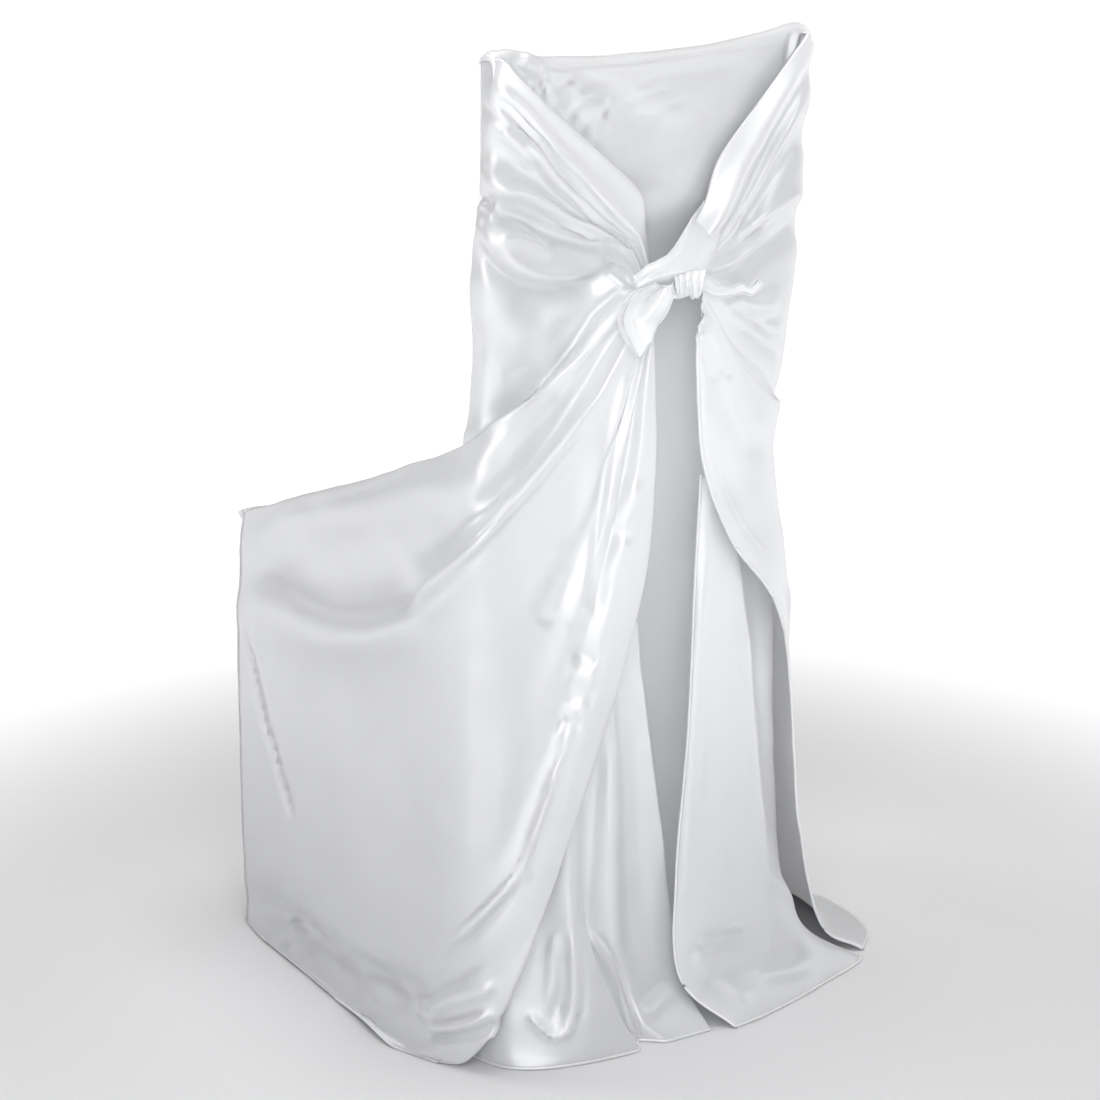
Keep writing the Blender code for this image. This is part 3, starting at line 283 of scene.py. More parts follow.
# Folds of the right wing, in the same order.
RIGHT_WING = (
    Fold("v edge", (0.9, -4.6, 79.0), (3.0, -4.6, 81.3), (5.1, -4.7, 84.2), (6.9, -4.8, 88.5),
         (11.5, -4.9, 93.5), (15.4, -5.1, 97.7), (17.4, -5.0, 99.6), (18.1, -3.8, 99.9), 0.0),
    Fold("v ridge", (1.8, -5.8, 79.0), (4.3, -5.9, 80.7), (6.8, -5.8, 83.4), (9.0, -5.7, 87.2),
         (12.9, -5.7, 92.0), (16.2, -5.6, 96.3), (17.9, -5.2, 98.3), (18.5, -4.0, 98.7), 0.15),
    Fold("first valley", (2.4, -5.4, 78.8), (5.3, -4.8, 80.0), (8.2, -4.3, 82.8), (10.5, -4.2, 86.3),
         (14.2, -4.3, 90.9), (17.0, -4.4, 94.7), (18.1, -4.2, 96.2), (18.6, -3.3, 96.6), 0.35),
    Fold("second ridge", (2.8, -5.7, 78.5), (5.9, -5.1, 79.4), (9.1, -4.8, 82.2), (11.7, -4.8, 85.8),
         (14.8, -4.8, 89.6), (17.4, -4.8, 92.6), (18.4, -4.2, 93.5), (18.8, -3.2, 93.8), 0.62),
    Fold("second valley", (3.1, -5.4, 78.1), (6.5, -4.3, 78.7), (10.1, -3.9, 81.2), (13.0, -3.8, 84.5),
         (15.8, -3.8, 87.5), (17.6, -3.8, 89.0), (18.4, -3.1, 89.4), (18.7, -2.3, 89.6), 1.0),
    Fold("third ridge", (3.3, -5.7, 77.7), (6.9, -4.8, 77.8), (9.7, -4.6, 78.8), (13.4, -4.6, 82.0),
         (16.2, -4.6, 83.4), (17.9, -4.3, 84.1), (18.6, -3.2, 84.4), (18.9, -2.0, 84.5), 1.7),
    Fold("third valley", (3.4, -5.4, 77.3), (7.1, -4.1, 76.8), (10.0, -3.6, 77.4), (13.6, -3.4, 80.0),
         (16.2, -3.4, 81.2), (17.7, -3.3, 81.8), (18.4, -2.4, 82.0), (18.7, -1.5, 82.0), 2.0),
    Fold("flank", (3.5, -5.6, 76.9), (7.2, -4.5, 75.6), (10.2, -4.2, 75.2), (13.6, -4.0, 76.0),
         (16.2, -3.9, 76.6), (17.9, -3.4, 77.0), (18.5, -2.2, 77.2), (18.8, -1.1, 77.2), 2.4),
    Fold("flank lip", (3.6, -5.9, 76.5), (6.9, -5.2, 74.2), (9.7, -4.9, 72.6), (12.5, -4.7, 71.4),
         (15.0, -4.4, 70.6), (16.6, -3.6, 70.2), (17.6, -2.4, 70.0), (18.2, -1.0, 70.0), 3.1),
    Fold("tuck", (3.6, -6.0, 76.1), (6.4, -5.1, 72.9), (9.2, -4.2, 70.0), (12.0, -3.6, 67.7),
         (14.4, -3.2, 65.9), (16.0, -2.4, 64.4), (17.3, -1.0, 63.2), (18.2, 0.4, 62.4), 4.0),
    Fold("arm tuck", (3.6, -6.1, 75.9), (6.3, -5.4, 72.5), (9.0, -4.6, 69.3), (11.9, -4.1, 66.5),
         (14.6, -3.6, 64.3), (17.0, -1.8, 62.9), (19.4, 1.6, 61.6), (20.6, 5.4, 59.8), 5.0),
    Fold("arm hollow", (3.6, -6.2, 75.8), (6.2, -5.6, 72.3), (8.9, -4.8, 69.0), (11.9, -4.3, 66.0),
         (14.7, -3.8, 63.8), (17.2, -1.8, 62.6), (20.4, 4.6, 60.3), (21.5, 12.4, 57.0), 6.0),
    Fold("arm ridge", (3.6, -6.3, 75.7), (6.1, -5.7, 72.1), (8.8, -5.0, 68.7), (11.9, -4.6, 65.6),
         (14.8, -4.0, 63.2), (17.3, -1.8, 62.2), (20.8, 7.0, 59.4), (22.1, 24.0, 53.0), 7.0),
    Fold("arm slope", (3.5, -6.3, 75.3), (5.7, -6.0, 71.2), (8.1, -5.4, 66.6), (11.0, -4.8, 62.2),
         (13.9, -4.2, 59.0), (16.5, -1.9, 56.8), (20.4, 8.0, 52.6), (22.4, 24.0, 48.6), 7.35),
    Fold("flap ridge", (3.4, -6.5, 75.0), (5.3, -6.3, 70.4), (7.5, -5.9, 65.0), (10.4, -5.3, 60.0),
         (13.8, -4.7, 55.4), (16.9, -2.4, 51.8), (21.4, 8.0, 46.6), (23.4, 24.0, 43.0), 7.85),
    Fold("flap slope", (3.3, -6.5, 74.7), (4.9, -6.3, 69.7), (6.9, -6.0, 63.6), (10.0, -5.5, 57.4),
         (14.4, -4.9, 51.2), (18.1, -2.2, 46.6), (22.2, 8.0, 39.0), (24.0, 24.0, 33.8), 8.5),
    Fold("flap hollow", (3.2, -6.6, 74.4), (4.5, -6.3, 69.0), (6.2, -6.1, 62.2), (9.7, -5.7, 54.8),
         (15.0, -5.1, 47.8), (18.9, -1.8, 42.0), (22.8, 8.0, 31.4), (24.6, 23.0, 20.6), 9.2),
    Fold("side lower", (3.1, -6.7, 74.0), (4.1, -6.4, 68.4), (5.4, -6.2, 61.0), (9.1, -5.9, 52.8),
         (15.1, -5.2, 46.0), (19.6, -1.6, 39.6), (23.2, 8.0, 25.6), (25.4, 21.5, 8.6), 10.0),
    Fold("side foot", (3.1, -6.7, 73.9), (4.0, -6.4, 68.2), (5.2, -6.2, 60.6), (8.9, -6.0, 52.5),
         (15.0, -5.3, 45.6), (19.7, -1.6, 38.7), (23.2, 6.6, 23.2), (26.2, 18.0, 7.0), (27.0, 33.0, 0.2)),
    Fold("side hem", (3.1, -6.8, 73.7), (3.9, -6.4, 68.0), (5.1, -6.2, 60.3), (8.8, -6.0, 52.2),
         (15.0, -5.3, 45.2), (19.8, -1.5, 37.8), (23.2, 5.4, 21.0), (27.4, 14.0, 5.4), (32.0, 20.0, 0.2)),
    Fold("corner fold", (3.0, -6.8, 73.5), (3.7, -6.3, 67.6), (4.8, -6.2, 59.6), (8.5, -6.1, 51.5),
         (14.8, -5.4, 44.3), (19.8, -1.4, 35.8), (22.4, 1.6, 18.6), (27.0, 5.6, 4.2), (34.4, 7.4, 0.2)),
    Fold("hem curl", (2.9, -6.8, 73.2), (3.5, -6.2, 67.3), (4.5, -6.1, 59.0), (8.2, -6.1, 50.9),
         (14.6, -5.5, 43.6), (19.6, -1.8, 34.4), (22.0, -0.4, 17.2), (26.0, 0.6, 3.8), (32.4, -1.0, 0.2)),
    Fold("inner edge", (2.7, -6.7, 72.8), (3.2, -6.2, 66.9), (4.2, -6.1, 58.4), (7.9, -6.1, 50.2),
         (14.2, -5.5, 42.7), (19.3, -2.2, 33.0), (21.4, -1.8, 16.0), (24.2, -2.6, 3.6),
         (28.4, -5.0, 0.2)),
)

# Pleats of the left gore, from the panel's edge round to the free fold beside the slit.
LEFT_GORE = (
    Drop("panel side", (-17.79, 0.1, 46.0), (-17.79, 0.7, 36.0), (-17.79, 1.4, 24.0), (-17.79, 2.2, 12.0),
         (-17.79, 2.7, 4.0), (-17.79, 2.9, 0.6)),
    Drop("outer turn", (-18.0, -2.2, 46.0), (-18.4, -2.0, 36.0), (-19.0, -1.8, 24.0), (-20.6, -0.4, 12.0),
         (-21.6, 0.2, 4.0), (-21.8, 0.4, 0.3)),
    Drop("hidden fold", (-12.2, -4.2, 46.0), (-14.2, -4.2, 36.0), (-16.6, -4.4, 24.0),
         (-18.4, -4.2, 12.0), (-19.8, -5.0, 3.6), (-20.4, -5.8, 0.2)),
    Drop("cone valley", (-8.8, -4.4, 45.6), (-11.0, -4.6, 36.0), (-13.6, -4.8, 24.0), (-15.6, -5.4, 12.0),
         (-17.4, -7.4, 2.6), (-17.8, -8.4, 0.2)),
    Drop("cone ridge", (-7.4, -4.7, 45.2), (-9.6, -5.2, 36.0), (-11.8, -6.0, 24.0), (-12.6, -8.0, 12.6),
         (-11.8, -10.0, 3.2), (-13.0, -10.2, 0.2)),
    Drop("cone edge", (-6.6, -4.6, 44.8), (-8.6, -4.9, 36.0), (-10.4, -5.5, 24.0), (-10.8, -7.4, 12.6),
         (-8.6, -10.0, 4.2), (-7.2, -11.0, 0.2)),
    Drop("cone tuck", (-5.8, -4.4, 44.4), (-7.8, -4.4, 36.0), (-9.2, -4.6, 24.0), (-9.6, -5.4, 12.6),
         (-8.2, -7.2, 4.2), (-5.6, -9.2, 0.2)),
    Drop("pleat ridge", (-5.0, -4.6, 44.0), (-6.3, -5.2, 35.4), (-7.0, -6.1, 23.6), (-7.2, -6.8, 12.4),
         (-5.8, -8.0, 4.4), (-3.2, -11.0, 0.2)),
    Drop("pleat valley", (-4.2, -4.6, 43.6), (-4.7, -4.5, 35.0), (-4.4, -4.7, 23.4), (-3.8, -5.2, 12.4),
         (-2.6, -7.2, 4.4), (-0.4, -11.2, 0.2)),
    Drop("free fold", (-3.2, -5.0, 43.2), (-2.2, -4.9, 34.8), (-0.3, -4.9, 23.2), (1.4, -5.0, 12.2),
         (1.9, -6.4, 4.2), (2.0, -11.3, 0.2)),
)

# Pleats of the right gore, from the fold beside the slit round to the panel's edge.
RIGHT_GORE = (
    Drop("free fold", (5.2, -4.4, 57.0), (4.0, -5.2, 46.0), (2.9, -5.8, 31.0), (1.3, -6.2, 15.0),
         (0.9, -7.7, 4.8), (4.5, -12.4, 0.2)),
    Drop("lit ridge", (6.2, -4.7, 56.6), (5.3, -6.0, 45.6), (4.7, -6.8, 30.6), (3.9, -7.4, 14.8),
         (4.6, -8.8, 5.0), (8.0, -12.0, 0.2)),
    Drop("panel middle", (7.6, -4.6, 55.6), (8.0, -5.4, 44.6), (8.6, -5.9, 30.0), (9.2, -6.2, 14.6),
         (10.2, -8.0, 5.2), (12.2, -11.2, 0.2)),
    Drop("outer ridge", (9.4, -4.4, 54.0), (10.4, -5.0, 43.2), (11.8, -5.4, 29.4), (13.6, -5.6, 14.2),
         (15.6, -6.2, 5.4), (18.8, -9.4, 0.2)),
    Drop("recess side", (10.4, -3.6, 52.6), (11.8, -3.6, 42.2), (13.4, -3.6, 29.0), (15.4, -3.8, 14.0),
         (19.6, -4.8, 4.6), (26.8, -6.4, 0.2)),
    Drop("recess", (12.4, -2.4, 50.2), (14.2, -2.2, 40.8), (15.8, -1.6, 28.4), (18.2, -1.6, 14.0),
         (21.0, -2.2, 5.0), (25.0, -2.6, 0.6)),
    Drop("outer turn", (16.4, -1.8, 47.6), (17.8, -1.0, 39.0), (18.6, -0.4, 27.8), (20.0, 0.4, 14.0),
         (20.8, 0.9, 5.4), (21.4, 1.2, 0.9)),
    Drop("panel side", (17.79, 0.0, 46.0), (17.79, 0.6, 37.0), (17.79, 1.2, 27.0), (17.79, 2.1, 14.0),
         (17.79, 2.6, 5.4), (17.79, 2.9, 0.6)),
)

# Levels of the back panel, from its seam in front of the crown down to its hem.
BACK_PANEL = (
    Level("front seam", -1.0, 98.69, 1.7, 18.0, 1.1),
    Level("crown front", -1.35, 99.6, 1.8, 18.1, 1.2),
    Level("crown", -2.3, 100.1, 1.9, 18.1, 1.2),
    Level("crown rear", -3.4, 99.2, 1.6, 18.1, 1.2),
    Level("upper back", -3.5, 96.5, 0.6, 18.0, 0.8),
    Level("middle back", -2.5, 84.0, 0.0, 17.4, 0.0),
    Level("lower back", -1.4, 67.0, 0.0, 16.0, 0.0),
    Level("seat level", -0.2, 48.0, 0.0, 17.0, 0.0),
    Level("below seat", 0.7, 36.0, 0.0, 17.57, 0.0),
    Level("shin", 1.8, 18.0, 0.0, 17.57, 0.0),
    Level("panel hem", 2.9, 0.6, 0.0, 17.57, 0.0),
)

# The front's middle line: where each level leaves the seam, and its depth and height there.
FRONT = (
    Front("top seam", 0.0, -1.0, 97.45),
    Front("upper back", 1.0, -0.2, 90.0),
    Front("middle back", 2.0, 0.6, 82.0),
    Front("lower back", 3.0, 1.6, 70.0),
    Front("back foot", 4.0, 3.0, 52.0),
    Front("seat rear", 4.8, 8.0, 48.2),
    Front("seat middle", 6.0, 22.0, 47.5),
    Front("seat front", 6.9, 40.2, 47.2),
    Front("front roll", 7.3, 42.0, 44.6),
    Front("drop top", 8.0, 42.4, 38.0),
    Front("drop middle", 9.0, 42.6, 20.0),
    Front("front hem", 10.0, 42.2, 0.2),
)

# Azimuth from behind the cover and elevation in degrees, distance and size in metres, and watts.
LAMPS = (
    Lamp("top", 0.0, 90.0, 3.0, 1.6, 42.0),
    Lamp("front low", -35.0, 10.0, 3.5, 2.0, 14.0),
    Lamp("front key", -35.0, 25.0, 3.5, 2.0, 30.0),
    Lamp("high key", -15.0, 45.0, 3.5, 2.0, 14.0),
    Lamp("rear high", -142.0, 44.0, 3.5, 1.0, 19.0),
    Lamp("right", 50.0, 35.0, 3.5, 2.0, 8.0),
    Lamp("right high", 85.0, 45.0, 3.5, 2.0, 6.0),
    Lamp("right low", 85.0, 12.0, 3.5, 2.0, 9.0),
)

# Creases of the left wing: height in mm above the sheet (a trough is below zero), the reach of its
# slope to the left and right of the way it runs in pixels, and its course in the photo.
LEFT_CREASES = crease_rows(
    ("first ridge line", 3.2, 5, 3, 486, 81, 496, 89, 523, 108, 540, 129, 557, 151, 576, 170, 598, 194,
     620, 219, 640, 242),
    ("under first ridge", -3.0, 3, 5, 488, 90, 500, 99, 524, 117, 541, 138, 558, 160, 578, 180, 600, 204,
     620, 228, 636, 246),
    ("second line", 2.0, 4, 3, 546, 148, 571, 178, 586, 195, 605, 214, 629, 238),
    ("second groove", -2.0, 3, 4, 545, 156, 566, 181, 584, 202, 603, 222, 625, 244),
    ("fold two", 3.4, 5, 4, 485, 84, 490, 102, 508, 122, 527, 135, 544, 165, 559, 185, 578, 204,
     598, 224, 626, 243),
    ("under fold two", -2.6, 4, 6, 486, 100, 496, 116, 512, 129, 524, 142, 540, 172, 556, 194, 580, 216,
     604, 234),
    ("above fold two", -2.0, 6, 5, 494, 94, 508, 108, 528, 124, 542, 142, 552, 160),
    ("light spot", 4.0, 7, 7, 498, 128, 514, 141, 528, 155, 540, 168),
    ("third ridge", 4.2, 9, 5, 478, 158, 486, 175, 496, 190, 523, 193, 547, 206, 571, 226, 598, 238,
     625, 247),
    ("above third ridge", -2.6, 10, 8, 490, 150, 505, 172, 528, 180, 556, 200, 590, 224),
    ("notch", -5.0, 4, 5, 477, 194, 484, 200, 496, 208),
    ("notch lip", 2.4, 4, 4, 478, 205, 486, 211, 496, 216),
    ("wedge", -7.5, 6, 5, 490, 223, 504, 217, 524, 220, 548, 234, 576, 242, 606, 247),
    ("wedge lip", 4.2, 4, 4, 496, 214, 508, 208, 524, 211, 550, 222, 580, 233, 610, 243),
    ("wedge foot", -2.6, 4, 4, 506, 228, 530, 230, 543, 238, 556, 250, 574, 253),
    ("thin dark line", -2.4, 3, 3, 588, 236, 606, 242, 632, 249),
    ("lump", 5.0, 10, 10, 494, 240, 516, 236, 536, 244, 556, 258),
    ("swag line", 5.0, 5, 4, 481, 222, 486, 238, 496, 255, 511, 267, 530, 274, 552, 277, 586, 274,
     600, 265, 612, 252),
    ("under swag", -5.0, 4, 8, 478, 238, 488, 258, 500, 272, 524, 284, 552, 288, 588, 283, 606, 272),
    ("swag second line", 1.8, 5, 5, 554, 291, 572, 288, 592, 283),
    ("flank light", 3.6, 20, 20, 480, 262, 488, 290, 506, 330, 534, 345),
    ("flank shade", -3.6, 16, 16, 512, 282, 530, 305, 560, 330, 572, 345),
    ("flank dip", -3.0, 10, 10, 500, 380, 530, 372, 552, 384),
    ("edge nick", -3.0, 5, 5, 474, 322, 480, 340, 484, 360),
    ("knot crease", -3.4, 4, 4, 602, 258, 616, 268, 634, 281),
    ("knot crease lip", 2.4, 4, 4, 598, 266, 612, 276, 628, 290),
    ("flank groove", -3.2, 6, 4, 628, 281, 612, 296, 594, 312, 582, 330, 568, 350, 548, 374),
    ("arm line", 2.6, 4, 5, 618, 322, 586, 354, 558, 378, 527, 406, 482, 430, 454, 442, 398, 473,
     342, 490, 262, 506),
    ("dark wedge", -3.6, 7, 6, 622, 324, 610, 340, 590, 362, 574, 380, 548, 406),
    ("arm first valley", -2.2, 9, 8, 575, 376, 547, 408, 512, 447, 488, 464, 466, 476),
    ("arm soft ridge", 1.6, 8, 7, 578, 388, 548, 424, 514, 460, 484, 482, 450, 500),
    ("arm second valley", -3.8, 8, 7, 592, 380, 567, 406, 539, 439, 510, 473, 482, 498, 462, 510),
    ("shelf ridge", 2.0, 10, 10, 600, 384, 574, 424, 546, 458, 510, 494, 478, 518),
    ("lip line", 4.4, 5, 5, 596, 408, 561, 451, 539, 479, 510, 510, 482, 538, 460, 560, 426, 588,
     404, 604, 372, 622),
    ("under lip", -2.8, 4, 9, 594, 430, 566, 462, 542, 492, 512, 524, 484, 552, 456, 580, 424, 606,
     392, 624),
    ("corner hollow", -10.0, 40, 16, 240, 546, 265, 568, 300, 592, 330, 604, 365, 604, 400, 594,
     430, 574),
    ("corner shelf", 8.0, 18, 26, 240, 580, 265, 604, 300, 630, 330, 642, 365, 640, 400, 630, 430, 610),
    ("seat edge roll", 4.0, 18, 14, 262, 524, 320, 510, 390, 496, 450, 470),
    ("narrow valley", -3.2, 5, 5, 628, 356, 620, 374, 614, 400, 607, 440, 603, 487, 598, 526, 592, 582,
     590, 612),
    ("band left edge", 2.2, 5, 11, 631, 362, 624, 386, 619, 422, 613, 462, 608, 498, 602, 540),
    ("second soft valley", -2.6, 10, 9, 594, 452, 581, 480, 572, 526, 564, 568, 547, 610, 534, 640),
    ("between valleys", 1.2, 8, 8, 604, 420, 594, 470, 586, 526, 580, 580),
    ("dark hollow", -2.4, 10, 10, 560, 574, 548, 600, 538, 628),
    ("band spot one", 2.6, 12, 12, 640, 480, 622, 505, 612, 530),
    ("band spot dip", -2.0, 7, 7, 650, 500, 632, 522, 620, 545),
    ("band spot two", 2.4, 10, 10, 628, 535, 612, 560, 602, 585),
    ("cross crease", -0.8, 4, 4, 538, 627, 560, 621, 584, 624, 600, 630),
    ("cross lip", 0.6, 5, 5, 536, 637, 560, 632, 586, 635),
    ("pucker lump one", 2.0, 8, 8, 588, 600, 592, 622, 590, 648),
    ("pucker notch one", -3.4, 5, 5, 572, 655, 582, 655, 597, 663),
    ("pucker lump two", 2.4, 9, 8, 564, 668, 580, 673, 598, 682),
    ("pucker dip", -2.0, 6, 6, 566, 700, 582, 696, 596, 700),
    ("pucker lump three", 1.8, 8, 8, 560, 708, 576, 708, 590, 712),
    ("pucker notch two", -3.4, 5, 5, 558, 724, 568, 720, 584, 724),
    ("pucker lump four", 2.4, 6, 6, 562, 730, 566, 744, 564, 758),
    ("seam line", 4.4, 4, 3, 562, 756, 554, 774, 547, 798, 539, 820, 530, 845, 522, 872),
    ("seam pucker one", 2.0, 4, 4, 545, 770, 556, 776, 564, 784),
    ("seam pucker two", 2.0, 4, 4, 538, 793, 549, 799, 558, 808),
    ("seam pucker three", 1.8, 4, 4, 531, 815, 541, 822, 550, 830),
    ("seam pucker four", 1.8, 4, 4, 522, 838, 532, 846, 541, 853),
    ("seam pucker five", 2.2, 4, 4, 514, 866, 524, 868, 532, 876),
    ("low ridge line", 4.6, 4, 4, 526, 868, 516, 877, 498, 897, 476, 919, 452, 942, 436, 958),
    ("low ridge groove", -3.4, 4, 5, 518, 890, 500, 908, 480, 928, 460, 948),
    ("side line", -5.0, 5, 3, 247, 622, 250, 646, 257, 682, 267, 724, 281, 772, 296, 830),
    ("side line lip", 2.0, 6, 12, 248, 622, 258, 664, 270, 710, 284, 760, 300, 822),
    ("side fold", 2.4, 20, 20, 330, 690, 338, 760, 352, 840, 372, 910),
    ("side hollow", -2.6, 22, 22, 380, 670, 392, 760, 410, 850, 430, 910),
    ("rear corner", 2.2, 9, 14, 470, 600, 467, 680, 466, 780, 464, 860, 446, 945),
    ("plane fold", 1.8, 12, 12, 500, 640, 506, 720, 500, 800, 488, 860),
    ("plane dip", -1.8, 12, 12, 528, 660, 532, 730, 524, 800, 508, 856),
    ("flare trough", -14.0, 18, 13, 244, 884, 268, 906, 300, 930, 330, 957, 360, 975, 395, 987,
     436, 1012),
    ("flare ridge", 8.0, 20, 20, 236, 916, 270, 955, 305, 988, 340, 1014, 375, 1034, 412, 1050),
    ("hem ripple one", 3.0, 5, 5, 280, 918, 286, 934, 290, 952),
    ("hem ripple two", 3.0, 6, 6, 298, 922, 306, 940, 312, 960),
    ("hem ripple three", 3.0, 6, 6, 330, 944, 352, 968, 372, 992, 386, 1016),
    ("hem dip three", -3.0, 6, 6, 352, 948, 378, 974, 398, 1000),
    ("hem ripple four", 5.0, 7, 6, 380, 980, 404, 990, 420, 1008, 428, 1024),
    ("pile dark gap", -8.0, 5, 5, 430, 1038, 456, 1036, 480, 1031, 500, 1022),
    ("pile lip", 6.5, 6, 5, 424, 1028, 450, 1027, 474, 1021, 494, 1012),
    ("pile fold", 5.0, 7, 7, 430, 1012, 452, 998, 478, 992, 500, 984),
    ("pile dip", -4.6, 6, 6, 416, 1002, 440, 988, 468, 972, 490, 962),
)

RIGHT_CREASES = crease_rows(
    ("edge ridge", 3.0, 12, 10, 811, 51, 794, 78, 772, 117, 753, 156, 736, 194, 717, 233, 706, 258),
    ("first groove", -3.8, 4, 4, 809, 58, 799, 83, 787, 106, 770, 141, 753, 178, 737, 214, 722, 240),
    ("narrow ridge", 3.6, 4, 4, 809, 84, 799, 108, 789, 129, 772, 156, 760, 180, 742, 209, 726, 240,
     718, 256),
    ("second groove", -3.0, 4, 5, 808, 104, 800, 122, 790, 146, 775, 170, 762, 194, 746, 220, 730, 248),
    ("broad light", 2.6, 12, 12, 806, 140, 788, 172, 768, 204, 750, 228),
    ("pair line", 3.4, 4, 4, 804, 190, 786, 202, 766, 216, 748, 230, 734, 246),
    ("pair groove", -4.2, 4, 4, 803, 198, 785, 209, 765, 224, 748, 237, 734, 252, 722, 260),
    ("pair lower line", 2.4, 4, 5, 800, 208, 784, 218, 766, 233, 750, 246, 738, 258),
    ("lower light", 3.4, 18, 14, 802, 232, 776, 256, 750, 272, 726, 284),
    ("leaf", 3.6, 10, 8, 732, 292, 744, 302, 762, 306, 782, 302),
    ("leaf edge", -3.2, 5, 7, 730, 302, 744, 312, 764, 318, 786, 314),
    ("flank crease", -3.6, 4, 4, 744, 316, 758, 325, 770, 335, 786, 347),
    ("flank crease lip", 3.0, 4, 5, 740, 324, 756, 334, 768, 344, 782, 356),
    ("flap ridge one", 2.6, 9, 9, 700, 306, 716, 347, 731, 379, 750, 416, 772, 448),
    ("flap dip", -2.4, 9, 9, 702, 340, 716, 380, 736, 424, 762, 470),
    ("flap ridge two", 2.0, 9, 9, 702, 390, 716, 430, 740, 480, 768, 530),
    ("cross crease", -2.0, 3, 3, 712, 381, 722, 376, 732, 375),
    ("crumple", 3.4, 6, 5, 688, 312, 692, 324, 702, 334),
    ("crumple two", 2.8, 5, 5, 700, 310, 706, 322, 708, 334),
    ("crumple groove", -3.2, 4, 4, 668, 312, 680, 326, 690, 334, 704, 338),
)

LEFT_GORE_CREASES = crease_rows(
    ("pocket line", -4.0, 9, 9, 602, 740, 594, 800, 590, 860, 586, 920, 582, 950),
    ("lit line", 3.6, 9, 8, 622, 700, 616, 776, 615, 860, 612, 930, 606, 990),
    ("slit side dip", -2.6, 8, 8, 634, 690, 638, 780, 640, 860, 644, 940),
    ("slit side", 2.6, 6, 5, 640, 660, 650, 730, 660, 800, 668, 880),
    ("cone edge", 7.0, 4, 3, 582, 930, 600, 951, 616, 982, 628, 1021, 637, 1048),
    ("cone groove", -7.0, 3, 5, 590, 930, 607, 951, 623, 982, 635, 1021, 642, 1044),
    ("u fold right", 3.8, 4, 4, 571, 930, 573, 951, 574, 986, 572, 1012, 566, 1030),
    ("u fold foot", 4.2, 4, 5, 572, 1016, 566, 1032, 554, 1038, 540, 1028, 524, 1012),
    ("u fold hollow", -4.0, 7, 7, 562, 950, 562, 985, 556, 1012, 546, 1018),
    ("u fold inner line", 2.6, 4, 4, 555, 930, 553, 956, 553, 985, 546, 1004),
    ("beside u fold", -3.0, 5, 6, 583, 950, 584, 990, 582, 1024),
    ("low fold", 2.6, 8, 8, 644, 1020, 662, 1000, 684, 986),
    ("low fold dip", -2.4, 6, 6, 640, 1004, 656, 986, 672, 972),
)

RIGHT_GORE_CREASES = crease_rows(
    ("edge light", 5.0, 6, 10, 704, 540, 698, 640, 692, 740, 686, 850, 681, 940),
    ("edge dip", -4.0, 10, 10, 722, 560, 716, 660, 712, 760, 706, 860, 704, 920),
    ("fold line", 4.4, 4, 5, 743, 590, 747, 680, 756, 779, 767, 871, 780, 890),
    ("fold line turn", 5.6, 7, 5, 766, 868, 778, 886, 795, 906, 817, 928, 840, 946),
    ("foot line", -3.4, 6, 6, 770, 880, 773, 920, 773, 966),
    ("short crease", 4.6, 4, 4, 698, 938, 720, 932, 744, 925),
    ("short crease dip", -3.6, 4, 5, 700, 948, 722, 942, 746, 934),
    ("foot hollow", -9.0, 13, 12, 684, 948, 716, 950, 752, 968, 790, 968, 822, 954),
    ("foot light", 7.0, 12, 10, 690, 960, 716, 952, 744, 962, 768, 984),
    ("foot dip", -5.0, 10, 10, 704, 972, 730, 980, 752, 1002),
)

BACK_CREASES = crease_rows(
    ("left pleat", -4.0, 4, 4, 506, 53, 520, 71, 532, 84, 547, 101, 560, 116),
    ("left flap", 3.6, 5, 5, 520, 56, 534, 68, 543, 84),
    ("second pleat", -3.4, 3, 5, 541, 66, 546, 80, 548, 96),
    ("strip light", 2.6, 6, 6, 550, 84, 566, 106, 584, 130, 604, 150),
    ("left crown line", 3.0, 5, 5, 494, 52, 512, 52, 532, 60, 548, 70, 568, 73, 588, 70),
    ("crown line", 2.4, 6, 7, 560, 66, 590, 68, 624, 67, 668, 60, 716, 52, 768, 42),
    ("under crown", -2.2, 8, 8, 566, 80, 600, 82, 640, 80, 690, 72, 760, 58),
    ("patch light", 5.4, 14, 14, 566, 84, 592, 100, 610, 112),
    ("centre dip", -8.0, 36, 36, 660, 90, 640, 130, 640, 170, 650, 200),
    ("right light", 4.4, 20, 18, 760, 90, 728, 130, 700, 170, 684, 196),
    ("right pleat one", -3.4, 3, 3, 790, 33, 790, 44, 785, 58),
    ("right pleat light", 3.0, 4, 3, 796, 31, 796, 42, 790, 56),
    ("right pleat two", -3.4, 3, 3, 803, 33, 801, 44, 796, 54),
    ("right pleat three", 2.6, 3, 3, 809, 33, 807, 42, 802, 52),
)

